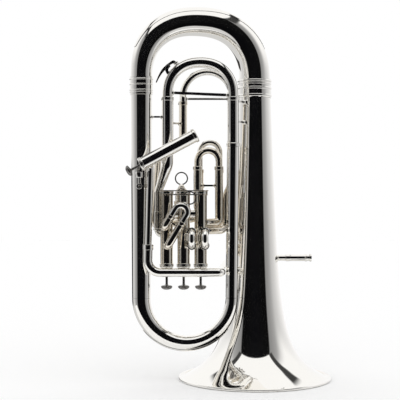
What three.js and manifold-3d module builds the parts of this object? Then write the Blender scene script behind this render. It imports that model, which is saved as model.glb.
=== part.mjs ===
// A compensating euphonium with three upright piston valves and a fourth one set aslant,
// standing on its bell. Millimetres, +Z up, the open side of the valves towards -Y.
import * as THREE from 'three';
import { mergeVertices } from 'three/addons/utils/BufferGeometryUtils.js';
import Module from 'manifold-3d';

const wasm = await Module();
wasm.setup();

// Gaps and overruns
const seatGap = 0.3;
const slideGap = 0.3;
const overrun = 2;

// Roundness of the facets
const bellSides = 28;
const bellSteps = 9;
const bowSides = 12;
const tubeSides = 10;
const thinSides = 8;
const braceSides = 6;
const valveSides = 12;
const cutterSides = 16;
const bowSteps = 5;
const bendSteps = 3;

// Bell
const bellRimRadius = 145;
const bellThroatRadius = 30;
const bellLength = 552;
const bellWall = 0.8;
const rimBeadRadius = 2.4;
// Each row is an inset from the rim's edge and a height, both as shares of the bead's radius
const rimBeadShares = [[2, 1], [1.7, 0], [0.5, 0], [0, 0.8], [0.4, 2], [1.4, 2]];
// Each row is a height as a share of the bell's length, and how much of the growth from the
// throat's radius to the rim's is there
const bellFlareShares = [
  [0, 1], [0.0135, 0.861], [0.027, 0.735], [0.061, 0.531], [0.113, 0.391],
  [0.165, 0.286], [0.268, 0.183], [0.405, 0.117], [0.68, 0.057], [1, 0],
];
const garlandSides = 16;
const garlandBelow = 18;
const garlandAbove = 18;
const garlandWall = 1.2;
const garlandRing = 2;

// Large bow
const branchX = -212.5;
const bodyY = -57;
const bowFootHeight = 568.5;
const bowWall = 0.8;
const bowLeftRadius = 20;
const bowRightRadius = bellThroatRadius - bowWall / 2;
const bowGuardWall = 0.9;
const bowGuardSpreadShare = 0.27;
const bowGuardTipShare = 0.35;
const bowGuardStartShare = 0.15;
const bowGuardEndShare = 0.83;

// Left branch, small bow and first branch
const branchFootHeight = 158.5;
const branchFootRadius = 16.6;
const branchFerruleLength = 34;
const firstBranchX = -45.5;
const smallBowMidRadius = 13.6;
const firstBranchRadius = 11;
const smallBowFerruleLength = 12;
const smallBowGuardSpreadShare = 0.2;
const smallBowGuardStartShare = 0.21;
const smallBowGuardEndShare = 0.81;

// Main tuning slide
const mainSlideLeftX = -164.2;
const mainSlideRightX = -43;
const mainSlideRadius = 9.8;
const mainSlideTop = 596;
const mainSleeveTop = 531;
const mainSleeveLength = 92;
const mainSlideInsert = 70;
const slideWall = 0.7;
const sleeveWall = 0.8;
const ferruleLength = 7;
const ferruleWall = 1;
const mainBraceHeight = 538;
const braceRadius = 1.7;
const braceFootRadius = 4.6;
const braceFootLength = 2;

// Valves
const valveX = -134.2;
const valveSpacing = 31.5;
const valveFoot = 214;
const valveLength = 144.5;
const fourthValveLength = 117.5;
const fourthValveX = -213.2;
const fourthValveY = -97;
const fourthValveZ = 403.5;
const fourthValveRise = 28.2;
const casingRadius = 11.6;
const casingWall = 1.2;
const pistonLength = 98;
const fourthPistonLength = 74;
const topCapRadius = 12.9;
const topCapHeight = 14.8;
const fourthCapHeight = 7.4;
const capCrownHeight = 3;
const bottomCapHeight = 7;
const bottomCapFloor = 2.4;
const ventRadius = 1.6;
const stemRadius = 2.4;
const stemLength = 32.5;
const fourthStemLength = 19.5;
const buttonRadius = 10.5;
const buttonThickness = 4.6;
const buttonDish = 1;
const feltThickness = 2.4;
const pistonFootShare = 0.125;
const passageShares = [0.3, 0.52, 0.74];
const passageSlope = 0.25;
const springRadius = 7.4;
const springWire = 0.8;
const springTurns = 4;
const springTurnSteps = 6;
const boreRadius = 6.2;
const tubeRadius = 7;
const tubeWall = 0.8;
const plateThickness = 2.6;
const plateMargin = 1.6;
const knuckleHeight = 315;

// Third valve slide and its compensating slide behind it
const thirdSlideLeftX = -108.7;
const thirdSlideRightX = -68.4;
const thirdSlideY = -34.5;
const thirdSlideTop = 432.8;
const thirdSlideRadius = 6.4;
const thirdSleeveTop = 403;
const thirdInsert = 60;
const thirdLeftPort = 323;
const thirdRightPort = 298.5;
const thirdBraceHeight = 367;
const rearSlideLeftX = -104;
const rearSlideRightX = -66.5;
const rearSlideY = -8;
const rearSlideTop = 449;
const rearSlideRadius = 5.7;
const rearSleeveTop = 398;
const rearInsert = 60;
const rearLeftPort = 243;
const rearRightPort = 262;
const rearRiserX = -97;
const rearRiserY = -31;
const rearCrossHeight = 291;

// Fourth valve slide
const fourthSlideLeftX = -136;
const fourthSlideRightX = -44;
const fourthSlideY = -29;
const fourthSlideTop = 581;
const fourthSlideRadius = 6.8;
const fourthSleeveTop = 525;
const fourthInsert = 48;
const fourthBraceHeight = 531.5;
const fourthReturnPort = 283;
const fourthReturnX = -55.5;
const fourthReturnY = -23;
const fourthReturnBelow = 345;
const fourthReturnAbove = 372;

// Front slide of the first valve, set aslant, and its pull ring
const firstSlideY = -84;
const firstBendX = -138.8;
const firstBendZ = 318;
const firstBendRadius = 11.9;
const firstSlideTilt = 58.5;
const firstSlideRadius = 6.2;
const firstUpperLeg = 40;
const firstLowerLeg = 66;
const firstInsert = 15;
const firstMouthSetback = 14;
const pullRingRadius = 11.4;
const pullRingWire = 1.1;
const pullRingFoot = 2;

// Compensating slide of the first valve, behind the casings, with a pull ring
const risingSlideX = -139.3;
const risingSlideY = -7;
const risingSlideSpacing = 13.8;
const risingSlideTop = 360.5;
const risingSlideRadius = 5.2;
const risingSleeveTop = 338;
const risingInsert = 40;
const risingLeftPort = 272;
const risingRightPort = 254;

// Two small slides that point to the front
const frontSlideHeight = 269.7;
const frontSlideSpacing = 24.4;
const frontSlideRadius = 6.3;
const secondSlideX = -119;
const frontCompX = -95;
const frontSlideFace = -114;
const frontSleeveFace = -94;
const frontInsert = 14;

// Air way
const leadY = -82;
const leadX = -200;
const leadTopX = -195;
const leadRunHeight = 207.5;
const leadWideRadius = 7.6;
const leadNarrowRadius = 5.9;
const leadWall = 0.8;
// Each bend of the leadpipe, as a share of its wide end's radius
const leadBendShares = [1, 3, 2, 2, 3, 4, 2];
const leadTopRunX = -72;
const leadPassX = -60;
const leadPassY = -26;
const leadPassHeight = 218;
const leadBehindX = -56;
const leadBehindY = 30;
const leadBehindHeight = 226;
const leadCrownY = 66;
const leadOutX = 48;
const receiverY = 34;
const receiverHeight = 227.5;
const receiverStart = 62;
const receiverEnd = 112;
const receiverRadius = 6.5;
const receiverMouthRadius = 7.7;
const shankRadius = 5.2;
const receiverRing = 1.1;
const leadPortAlong = 20;
const feedX = -193;
const feedY = -24;
const feedLowHeight = 286;
const feedPort = 308;
const feedPortAlong = 34.5;
const fourthSlidePortAlong = 88;
const mainOutX = -183.5;
const mainOutY = -42;
const mainOutBelow = 405;
const mainOutAbove = 355;
const mainOutPort = 277;
const mainOutRadius = 6.8;

// Water key on the left shoulder of the main slide
const waterKeyWidth = 4;
const waterKeyThickness = 1.6;
const waterKeyArm = 26;
const waterKeyPadRadius = 4.6;
const waterKeyPadHeight = 3.4;
const waterKeyPadAngle = 118;
const waterKeyPivotAngle = 138;
const waterKeyPivotReach = 6.2;
const waterKeyPivotRadius = 2.2;
const waterKeyLugRadius = 1.5;
const waterKeyPivotLength = 5;

// Holder for a music lyre, on the front of the left branch
const lyreOffset = 2.5;
const lyreX = branchX - lyreOffset;
const lyreForward = 27;
const lyreY = bodyY - lyreForward;
const lyreBossHeight = 365.5;
const lyreBossRadius = 5.5;
const lyreBossForward = 31;
const lyreBossFace = bodyY - lyreBossForward;
const lyreHoleRadius = 1.9;
const lyreHoleDepth = 4;
const lyrePostRadius = 2.6;
const lyreSocketFoot = 381;
const lyreSocketLength = 10.5;
const lyreSocketRadius = 6.5;
const lyreSocketWall = 1.5;

// Braces between the fixed tubes
const bellBraceHeights = [524, 486];
const branchBraceHeight = 494;
const sleeveBraceHeight = 483;

// Colours, roughness and metalness
const silver = { color: 0xd9d9d4, roughness: 0.08, metalness: 1 };
const wornSilver = { color: 0xc9c8c2, roughness: 0.16, metalness: 1 };
const steel = { color: 0x9a9c9f, roughness: 0.3, metalness: 1 };

const vector = (x, y, z) => new THREE.Vector3(x, y, z);
const heading = (from, to) => to.clone().sub(from).normalize();
const up = vector(0, 0, 1);
const right = vector(1, 0, 0);
const back = vector(0, 1, 0);
const radians = THREE.MathUtils.degToRad;

// Merges shared corners, drops triangles with no area and turns the faces outwards
function tidied(geometry) {
  const plain = geometry.clone();
  plain.deleteAttribute('normal');
  plain.deleteAttribute('uv');
  const merged = mergeVertices(plain);
  const corners = merged.getIndex().array;
  const kept = [];
  const place = (i) => vector(0, 0, 0).fromBufferAttribute(merged.attributes.position, i);
  let volume = 0;
  for (let i = 0; i < corners.length; i += 3) {
    const [a, b, c] = [corners[i], corners[i + 1], corners[i + 2]];
    if (a !== b && b !== c && c !== a) {
      kept.push([a, b, c]);
      volume += place(a).dot(place(b).cross(place(c)));
    }
  }
  merged.setIndex(kept.flatMap(([a, b, c]) => (volume > 0 ? [a, b, c] : [a, c, b])));
  return merged;
}

function toSolid(geometry) {
  const ready = tidied(geometry);
  return new wasm.Manifold(new wasm.Mesh({
    numProp: 3,
    vertProperties: new Float32Array(ready.attributes.position.array),
    triVerts: new Uint32Array(ready.getIndex().array),
  }));
}

function toGeometry(solid) {
  const mesh = solid.getMesh();
  const geometry = new THREE.BufferGeometry();
  geometry.setAttribute('position', new THREE.BufferAttribute(mesh.vertProperties, 3));
  geometry.setIndex(new THREE.BufferAttribute(mesh.triVerts, 1));
  return geometry;
}

// A form turned round the Z axis from rows of radius and height
function turned(rows, sides) {
  const geometry = new THREE.LatheGeometry(rows.map(([r, z]) => new THREE.Vector2(r, z)), sides);
  geometry.rotateX(Math.PI / 2);
  return tidied(geometry);
}

// A hollow turned form, whose outline closes on itself
const turnedRing = (rows, sides) => turned([...rows, rows[0]], sides);

// Stands a form made along +Z at a place, pointing along a direction
function aimed(geometry, place, direction) {
  const turn = new THREE.Quaternion().setFromUnitVectors(up, direction.clone().normalize());
  return geometry.applyQuaternion(turn).translate(place.x, place.y, place.z);
}

function rod(from, to, radius, sides) {
  const length = from.distanceTo(to);
  const form = turned([[0, 0], [radius, 0], [radius, length], [0, length]], sides);
  return aimed(form, from, heading(from, to));
}

// Places along a line of corners, with each inner corner rounded by a bend of its radius
function roundedLine(corners, bends, quarterSteps = bendSteps) {
  const places = [{ point: corners[0].clone(), ahead: heading(corners[0], corners[1]) }];
  for (let i = 1; i < corners.length - 1; i += 1) {
    const before = heading(corners[i - 1], corners[i]);
    const after = heading(corners[i], corners[i + 1]);
    const turn = before.angleTo(after);
    const radius = Array.isArray(bends) ? bends[i - 1] : bends;
    const axis = before.clone().cross(after).normalize();
    const inward = axis.clone().cross(before);
    const setback = radius * Math.tan(turn / 2);
    const centre = corners[i].clone().addScaledVector(before, -setback).addScaledVector(inward, radius);
    const steps = Math.max(1, Math.round((quarterSteps * turn) / (Math.PI / 2)));
    for (let step = 0; step <= steps; step += 1) {
      const angle = (turn * step) / steps;
      const point = inward.clone().multiplyScalar(-radius).applyAxisAngle(axis, angle).add(centre);
      places.push({ point, ahead: before.clone().applyAxisAngle(axis, angle) });
    }
  }
  const last = corners.length - 1;
  places.push({ point: corners[last].clone(), ahead: heading(corners[last - 1], corners[last]) });
  const apart = (one, i) => i === 0 || one.point.distanceTo(places[i - 1].point) > seatGap;
  return withDistances(places.filter(apart));
}

function withDistances(places) {
  let distance = 0;
  return places.map((one, i) => {
    distance += i === 0 ? 0 : one.point.distanceTo(places[i - 1].point);
    return { ...one, distance };
  });
}

// Adds a place wherever a table of distance and radius has a row
function withRows(places, rows) {
  const added = [...places];
  for (const [distance] of rows) {
    const next = added.findIndex((one) => one.distance > distance);
    const near = added.some((one) => Math.abs(one.distance - distance) < seatGap / 2);
    if (next > 0 && !near) {
      const [a, b] = [added[next - 1], added[next]];
      const share = (distance - a.distance) / (b.distance - a.distance);
      const point = a.point.clone().lerp(b.point, share);
      added.splice(next, 0, { point, ahead: a.ahead.clone().lerp(b.ahead, share).normalize(), distance });
    }
  }
  return added;
}

function fromTable(rows, distance) {
  const next = rows.findIndex(([d]) => d >= distance);
  if (next <= 0) return rows[next === 0 ? 0 : rows.length - 1][1];
  const [[d0, r0], [d1, r1]] = [rows[next - 1], rows[next]];
  return d1 === d0 ? r1 : r0 + ((r1 - r0) * (distance - d0)) / (d1 - d0);
}

// Carries a crosswise direction back from the last place, turning it no more than the line turns
function crosswise(places, side) {
  const list = [];
  const last = places.at(-1).ahead;
  let across = side.clone().addScaledVector(last, -side.dot(last)).normalize();
  for (let i = places.length - 1; i >= 0; i -= 1) {
    const { ahead } = places[i];
    if (i < places.length - 1) {
      const turn = new THREE.Quaternion().setFromUnitVectors(places[i + 1].ahead, ahead);
      across = across.clone().applyQuaternion(turn);
    }
    list.unshift({ across, upward: ahead.clone().cross(across).normalize() });
  }
  return list;
}

// Joins rings of points, all with the same count, into one closed body. The last ring meets
// the first one, unless both are tips, whose points lie on one another.
function skin(rings, hasTips = false) {
  const count = rings[0].length;
  const bands = hasTips ? rings.length - 1 : rings.length;
  const positions = rings.flat().flatMap((p) => [p.x, p.y, p.z]);
  const index = [];
  for (let i = 0; i < bands; i += 1) {
    const far = (i + 1) % rings.length;
    for (let k = 0; k < count; k += 1) {
      const [a, b] = [i * count + k, i * count + ((k + 1) % count)];
      const [c, d] = [far * count + k, far * count + ((k + 1) % count)];
      index.push(a, b, d, a, d, c);
    }
  }
  const geometry = new THREE.BufferGeometry();
  geometry.setAttribute('position', new THREE.Float32BufferAttribute(positions, 3));
  geometry.setIndex(index);
  return tidied(geometry);
}

function ringAt(one, frame, radius, sides) {
  return Array.from({ length: sides }, (_, k) => {
    const angle = (2 * Math.PI * k) / sides;
    return one.point.clone()
      .addScaledVector(frame.across, radius * Math.cos(angle))
      .addScaledVector(frame.upward, radius * Math.sin(angle));
  });
}

// A hollow tube along rounded corners. Outer and inner are rows of distance and radius.
function pipe({
  corners, bends = 0, outer, inner, sides = thinSides, side = right, quarterSteps = bendSteps,
}) {
  const line = roundedLine(corners, bends, quarterSteps);
  const wall = (rows) => {
    const places = withRows(line, rows);
    const frames = crosswise(places, side);
    return places.map((one, i) => ringAt(one, frames[i], fromTable(rows, one.distance), sides));
  };
  return skin([...wall(outer), ...wall(inner).reverse()]);
}

const even = (radius) => [[0, radius]];

// A solid core of the same line, to cut with
function core({ corners, bends = 0, radius, sides = thinSides, side = right, quarterSteps = bendSteps }) {
  const places = roundedLine(corners, bends, quarterSteps);
  const frames = crosswise(places, side);
  const rings = places.map((one, i) => ringAt(one, frames[i], radius, sides));
  const ends = [places[0], places[places.length - 1]].map((one) => Array(sides).fill(one.point));
  return skin([ends[0], ...rings, ends[1]], true);
}

const lineLength = (corners, bends, quarterSteps) =>
  roundedLine(corners, bends, quarterSteps).at(-1).distance;

// The inner radius of a faceted ring that clears a round of the given radius
const around = (radius, sides) => (radius + seatGap) / Math.cos(Math.PI / sides);

// A plate that hugs the outer side of a bent tube and narrows to its two ends
function hugging({
  places, startShare, endShare, radiusAt, outwardAt, spreadShare, wall, sides = braceSides,
}) {
  const total = places.at(-1).distance;
  const [start, end] = [total * startShare, total * endShare];
  const held = places.filter(({ distance }) => distance > start && distance < end);
  const rings = held.map((one, i) => {
    const swell = Math.sin((Math.PI * i) / (held.length - 1));
    const spread = Math.PI * spreadShare * (bowGuardTipShare + (1 - bowGuardTipShare) * swell);
    const outward = outwardAt(one);
    const across = one.ahead.clone().cross(outward);
    const reach = (radius, angle) => one.point.clone()
      .addScaledVector(outward, radius * Math.cos(angle))
      .addScaledVector(across, radius * Math.sin(angle));
    const angles = Array.from({ length: sides + 1 }, (_, k) => spread * ((2 * k) / sides - 1));
    const low = radiusAt(one.distance) + seatGap;
    return [
      ...angles.map((angle) => reach(low + wall, angle)),
      ...angles.reverse().map((angle) => reach(low, angle)),
    ];
  });
  const tips = [rings[0], rings.at(-1)].map((ring) =>
    ring.map((point, k) => point.clone().lerp(ring[ring.length - 1 - k], 1 / 2)));
  return skin([tips[0], ...rings, tips[1]], true);
}

// Valves: each is made along +Z from the outer end of its top cap, then stood in its place
const valveList = [-1, 0, 1].map((step, i) => ({
  name: String(i + 1),
  foot: vector(valveX + step * valveSpacing, bodyY, valveFoot),
  axis: up,
  length: valveLength,
  stem: stemLength,
  piston: pistonLength,
  cap: topCapHeight,
}));
valveList.push({
  name: '4',
  foot: vector(fourthValveX, fourthValveY, fourthValveZ),
  axis: vector(Math.cos(radians(fourthValveRise)), 0, Math.sin(radians(fourthValveRise))),
  length: fourthValveLength,
  stem: fourthStemLength,
  piston: fourthPistonLength,
  cap: fourthCapHeight,
});
const [firstValve, secondValve, thirdValve, fourthValve] = valveList;

const alongValve = (valve, along) => valve.foot.clone().addScaledVector(valve.axis, along);
const atHeight = (valve, height) => alongValve(valve, height - valve.foot.z);

function casingCutter(valve) {
  const ends = [-overrun, valve.length + overrun].map((along) => alongValve(valve, along));
  return toSolid(rod(ends[0], ends[1], casingRadius + seatGap, valveSides));
}

// Tubes that open into a casing keep the ends of their bores here for the casing's ports
const ports = new Map(valveList.map((valve) => [valve.name, []]));

function openInto(valve, from, towards) {
  const reach = from.clone().addScaledVector(heading(from, towards), casingRadius + overrun);
  ports.get(valve.name).push({ from, reach });
}

// A tube whose first corner, and last one if there is a second valve, lies on a valve's axis
function valvedTube(options, first, second) {
  const { corners } = options;
  let form = toSolid(pipe(options));
  if (first) {
    openInto(first, corners[0], corners[1]);
    form = form.subtract(casingCutter(first));
  }
  if (second) {
    openInto(second, corners.at(-1), corners.at(-2));
    form = form.subtract(casingCutter(second));
  }
  return form;
}

// A sleeve's rows of distance and radius, from its valve end to its mouth
function sleeveRows(length, legRadius, insert, endRadius = tubeRadius) {
  const inner = legRadius + slideGap;
  const outer = inner + sleeveWall;
  return {
    outer: [
      [0, endRadius], [length - insert - ferruleLength, outer],
      [length - ferruleLength, outer], [length - ferruleLength + ferruleWall, outer + ferruleWall],
      [length, outer + ferruleWall],
    ],
    inner: [[0, endRadius - tubeWall], [length - insert - ferruleLength, inner], [length, inner]],
  };
}

// A soldered rod between two tubes, with a broad foot at each end, cut to the tubes' sides
function brace(from, to, fromRadius, toRadius) {
  const direction = heading(from, to);
  const length = from.distanceTo(to);
  const [low, high] = [fromRadius - braceFootLength, length - toRadius + braceFootLength];
  const rows = [
    [0, low], [braceFootRadius, low], [braceFootRadius, low + 2 * braceFootLength],
    [braceRadius, low + 2 * braceFootLength], [braceRadius, high - 2 * braceFootLength],
    [braceFootRadius, high - 2 * braceFootLength], [braceFootRadius, high], [0, high],
  ];
  return toSolid(aimed(turned(rows, braceSides), from, direction));
}

const uprightCutter = (x, y, low, high, radius, sides = cutterSides) =>
  toSolid(rod(vector(x, y, low), vector(x, y, high), radius, sides));

// Bell: a thin flared wall whose mouth rolls over into a bead, flat underneath
const bellGrowth = bellRimRadius - bellThroatRadius;
const bellCurve = new THREE.SplineCurve(
  bellFlareShares.map(([z, growth]) =>
    new THREE.Vector2(bellThroatRadius + growth * bellGrowth, z * bellLength)),
);

function bellOuterRadius(height) {
  const points = bellCurve.getPoints(bellFlareShares.length * bendSteps);
  const next = Math.max(1, points.findIndex((p) => p.y >= height));
  const [a, b] = [points[next - 1], points[next]];
  return a.x + ((b.x - a.x) * (height - a.y)) / (b.y - a.y);
}

function makeBell() {
  const outline = bellCurve.getPoints(bellSteps);
  const outside = outline.slice(1).map((p) => [p.x, p.y]);
  const inside = [...outside].reverse().map(([r, z]) => [r - bellWall, z]);
  const bead = rimBeadShares.map(([inset, height]) => [
    bellRimRadius - inset * rimBeadRadius, height * rimBeadRadius,
  ]);
  return turnedRing([...outside, ...inside, ...bead], bellSides);
}

// Ferrule over the joint of the bell and the large bow
function makeGarland() {
  const low = bellLength - garlandBelow;
  const high = bellLength + garlandAbove;
  const wide = around(bellOuterRadius(low), garlandSides);
  const narrow = around(bowRightRadius, garlandSides);
  const across = (z) => wide + ((narrow - wide) * (z - low)) / (high - low) + garlandWall;
  const rings = [low + garlandRing, low + garlandBelow, high - 2 * garlandRing];
  const outside = rings.flatMap((z) => [
    [across(z), z - garlandRing], [across(z) + garlandRing / 2, z - garlandRing / 2],
    [across(z) + garlandRing / 2, z + garlandRing / 2], [across(z), z + garlandRing],
  ]);
  return turnedRing([[wide, low], ...outside, [narrow + garlandWall, high], [narrow, high]], garlandSides);
}

// Large bow: half a circle in a plane that turns from the body's plane to the bell's axis
const bowSpan = vector(branchX, bodyY, 0);
const bowRadius = bowSpan.length() / 2;

function largeBowCorners() {
  const foot = vector(0, 0, bellLength + seatGap);
  const crown = vector(0, 0, bowFootHeight + bowRadius);
  const farFoot = vector(branchX, bodyY, bowFootHeight - branchFerruleLength / 2);
  return [foot, crown, vector(branchX, bodyY, crown.z), farFoot];
}

function largeBowRows() {
  const length = lineLength(largeBowCorners(), bowRadius, bowSteps);
  return [[0, bowRightRadius], [length - branchFerruleLength, bowLeftRadius], [length, bowLeftRadius]];
}

const hollowed = (rows, wall) => rows.map(([distance, radius]) => [distance, radius - wall]);

function makeLargeBow() {
  const outer = largeBowRows();
  return pipe({
    corners: largeBowCorners(), bends: bowRadius, outer, inner: hollowed(outer, bowWall), sides: bowSides,
    quarterSteps: bowSteps,
  });
}

function makeLargeBowGuard() {
  const normal = bowSpan.clone().normalize().cross(up);
  return hugging({
    places: roundedLine(largeBowCorners(), bowRadius, bowSteps),
    startShare: bowGuardStartShare,
    endShare: bowGuardEndShare,
    radiusAt: (distance) => fromTable(largeBowRows(), distance),
    outwardAt: (one) => normal.clone().cross(one.ahead),
    spreadShare: bowGuardSpreadShare,
    wall: bowGuardWall,
  });
}

function makeBranchFerrule() {
  const middle = bowFootHeight - branchFerruleLength / 2;
  const [low, high] = [middle - branchFerruleLength / 2, middle + branchFerruleLength / 2];
  const inner = around(bowLeftRadius, bowSides);
  const outer = inner + garlandWall;
  const rows = [[inner, low], [outer, low], [outer, low + garlandRing]];
  for (const z of [low + branchFerruleLength / 4, middle + garlandRing, high - 2 * garlandRing]) {
    rows.push([outer, z], [outer + garlandRing / 2, z + garlandRing / 2], [outer, z + garlandRing]);
  }
  const form = turnedRing([...rows, [outer, high], [inner, high]], bowSides);
  return form.translate(branchX, bodyY, 0);
}

function makeLeftBranch() {
  const top = bowFootHeight - branchFerruleLength / 2 - seatGap;
  const corners = [vector(branchX, bodyY, top), vector(branchX, bodyY, branchFootHeight + seatGap)];
  const outer = [[0, bowLeftRadius], [top - branchFootHeight, branchFootRadius]];
  return pipe({ corners, outer, inner: hollowed(outer, bowWall), sides: bowSides });
}

// The left branch tapers evenly from the large bow down to the small one
function branchRadiusAt(height) {
  const share = (bowFootHeight - height) / (bowFootHeight - branchFootHeight);
  return bowLeftRadius + (branchFootRadius - bowLeftRadius) * share;
}

// Small bow, with its two ferrules, and the plate that guards it
const smallBowRadius = (firstBranchX - branchX) / 2;

function smallBowCorners() {
  const low = branchFootHeight - smallBowRadius;
  return [
    vector(branchX, bodyY, branchFootHeight), vector(branchX, bodyY, low),
    vector(firstBranchX, bodyY, low), vector(firstBranchX, bodyY, branchFootHeight),
  ];
}

function smallBowRows() {
  const length = lineLength(smallBowCorners(), smallBowRadius, bowSteps);
  return [
    [0, branchFootRadius + ferruleWall], [smallBowFerruleLength, branchFootRadius + ferruleWall],
    [smallBowFerruleLength + ferruleWall, branchFootRadius - ferruleWall / 2],
    [length / 2, smallBowMidRadius],
    [length - smallBowFerruleLength - ferruleWall, firstBranchRadius],
    [length - smallBowFerruleLength, firstBranchRadius + ferruleWall],
    [length, firstBranchRadius + ferruleWall],
  ];
}

function makeSmallBow() {
  const corners = smallBowCorners();
  const length = lineLength(corners, smallBowRadius, bowSteps);
  const inner = [
    [0, branchFootRadius - 2 * bowWall], [length / 2, smallBowMidRadius - bowWall],
    [length, firstBranchRadius - bowWall],
  ];
  return pipe({
    corners, bends: smallBowRadius, outer: smallBowRows(), inner, sides: bowSides, quarterSteps: bowSteps,
  });
}

function makeSmallBowGuard() {
  const rows = smallBowRows();
  return hugging({
    places: roundedLine(smallBowCorners(), smallBowRadius, bowSteps),
    startShare: smallBowGuardStartShare,
    endShare: smallBowGuardEndShare,
    radiusAt: (distance) => fromTable(rows, distance),
    outwardAt: (one) => back.clone().cross(one.ahead),
    spreadShare: smallBowGuardSpreadShare,
    wall: bowGuardWall,
    sides: thinSides / 2,
  });
}

// First branch and the right sleeve of the main slide, with its two braces to the bell
const mainSleeveInner = mainSlideRadius + slideGap;
const mainSleeveOuter = mainSleeveInner + sleeveWall;

function makeFirstBranch() {
  const top = mainSleeveTop - mainSleeveLength - 2 * seatGap;
  const low = branchFootHeight + 2 * seatGap;
  const corners = [vector(firstBranchX, bodyY, low), vector(mainSlideRightX, bodyY, top)];
  const outer = even(firstBranchRadius);
  return pipe({ corners, outer, inner: even(firstBranchRadius - bowWall), sides: tubeSides });
}

function makeRightSleeve() {
  const low = mainSleeveTop - mainSleeveLength;
  const corners = [vector(mainSlideRightX, bodyY, low), vector(mainSlideRightX, bodyY, mainSleeveTop)];
  const endRadius = mainSleeveOuter + ferruleWall / 2;
  const rows = sleeveRows(mainSleeveLength, mainSlideRadius, mainSlideInsert, endRadius);
  let form = toSolid(pipe({ corners, ...rows, sides: tubeSides }));
  const axis = vector(mainSlideRightX, bodyY, 0);
  const bore = uprightCutter(axis.x, axis.y, low - overrun, mainSleeveTop + overrun,
    mainSleeveOuter - sleeveWall / 2);
  for (const height of bellBraceHeights) {
    const from = vector(axis.x, axis.y, height);
    const to = vector(0, 0, height);
    const bellRadius = bellOuterRadius(height);
    const keep = bellRadius + (height > bellLength - garlandBelow ? garlandWall + 2 * seatGap : seatGap);
    const piece = brace(from, to, mainSleeveOuter, keep)
      .subtract(uprightCutter(0, 0, height - bellRadius, height + bellRadius, keep + seatGap, bellSides))
      .subtract(bore);
    form = form.add(piece);
  }
  return form;
}

// A place beyond the outer side of the main slide's crook, at an angle from +X
function besideCrook(degrees, reach) {
  const bend = (mainSlideRightX - mainSlideLeftX) / 2;
  const centre = vector(mainSlideLeftX + bend, bodyY, mainSlideTop - bend);
  const outward = vector(Math.cos(radians(degrees)), 0, Math.sin(radians(degrees)));
  return centre.addScaledVector(outward, bend + mainSlideRadius + reach);
}

// Main tuning slide: the crook, its two inner legs, a cross brace and the water key's two lugs
function makeMainSlide() {
  const foot = mainSleeveTop - mainSlideInsert;
  const corners = [
    vector(mainSlideLeftX, bodyY, foot), vector(mainSlideLeftX, bodyY, mainSlideTop),
    vector(mainSlideRightX, bodyY, mainSlideTop), vector(mainSlideRightX, bodyY, foot),
  ];
  const bends = (mainSlideRightX - mainSlideLeftX) / 2;
  const line = { corners, bends, sides: tubeSides, quarterSteps: bowSteps };
  const [outer, inner] = [even(mainSlideRadius), even(mainSlideRadius - slideWall)];
  const crook = toSolid(pipe({ ...line, outer, inner }));
  const middle = toSolid(core({ ...line, radius: mainSlideRadius - slideWall / 2 }));
  let fittings = brace(
    vector(mainSlideLeftX, bodyY, mainBraceHeight), vector(mainSlideRightX, bodyY, mainBraceHeight),
    mainSlideRadius, mainSlideRadius,
  );
  const aside = waterKeyPivotLength / 2 + seatGap + waterKeyLugRadius;
  for (const offset of [-aside, aside]) {
    const [low, high] = [-mainSlideRadius, waterKeyPivotReach + waterKeyPivotRadius].map((reach) =>
      besideCrook(waterKeyPivotAngle, reach).add(vector(0, offset, 0)));
    fittings = fittings.add(toSolid(rod(low, high, waterKeyLugRadius, braceSides)));
  }
  return crook.add(fittings.subtract(middle));
}

// Left sleeve of the main slide: it runs down behind the fourth valve into the first one
function makeLeftSleeve() {
  const corners = [
    atHeight(firstValve, mainOutPort), vector(mainOutX, mainOutY, mainOutPort),
    vector(mainOutX, mainOutY, mainOutAbove), vector(mainSlideLeftX, bodyY, mainOutBelow),
    vector(mainSlideLeftX, bodyY, mainSleeveTop),
  ];
  const bends = [mainOutRadius + sleeveWall, 3 * mainOutRadius, 3 * mainOutRadius];
  const length = lineLength(corners, bends);
  const rows = sleeveRows(length, mainSlideRadius, mainSlideInsert, mainOutRadius);
  const tube = valvedTube({ corners, bends, ...rows, sides: tubeSides }, firstValve);
  const bore = uprightCutter(mainSlideLeftX, bodyY, mainOutBelow, mainSleeveTop,
    mainSleeveOuter - sleeveWall / 2);
  const branchRadius = branchRadiusAt(branchBraceHeight);
  const from = vector(mainSlideLeftX, bodyY, branchBraceHeight);
  const bar = brace(from, vector(branchX, bodyY, branchBraceHeight), mainSleeveOuter, branchRadius)
    .subtract(uprightCutter(branchX, bodyY, branchFootHeight, bowFootHeight, branchRadius + 2 * seatGap))
    .subtract(bore);
  return tube.add(bar);
}

// A pair of sleeves joined by a brace
function sleevePair(left, right, joint) {
  return left.add(right).add(joint);
}

// Third valve slide
function makeThirdSleeves() {
  const leftFoot = vector(thirdSlideLeftX, thirdSlideY, thirdLeftPort);
  const rightFoot = vector(thirdSlideRightX, thirdSlideY, thirdRightPort);
  const [leftTube, rightTube] = [leftFoot, rightFoot].map((foot) => {
    const corners = [atHeight(thirdValve, foot.z), foot, foot.clone().setZ(thirdSleeveTop)];
    const bends = tubeRadius + sleeveWall;
    const rows = sleeveRows(lineLength(corners, bends), thirdSlideRadius, thirdInsert);
    return valvedTube({ corners, bends, ...rows }, thirdValve);
  });
  const outer = thirdSlideRadius + slideGap + sleeveWall;
  const ends = [leftFoot, rightFoot].map((foot) => foot.clone().setZ(thirdBraceHeight));
  const bores = [leftFoot, rightFoot].map((foot) =>
    uprightCutter(foot.x, foot.y, foot.z, thirdSleeveTop, outer - sleeveWall / 2));
  const bar = brace(ends[0], ends[1], outer, outer).subtract(bores[0]).subtract(bores[1]);
  return sleevePair(leftTube, rightTube, bar);
}

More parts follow.
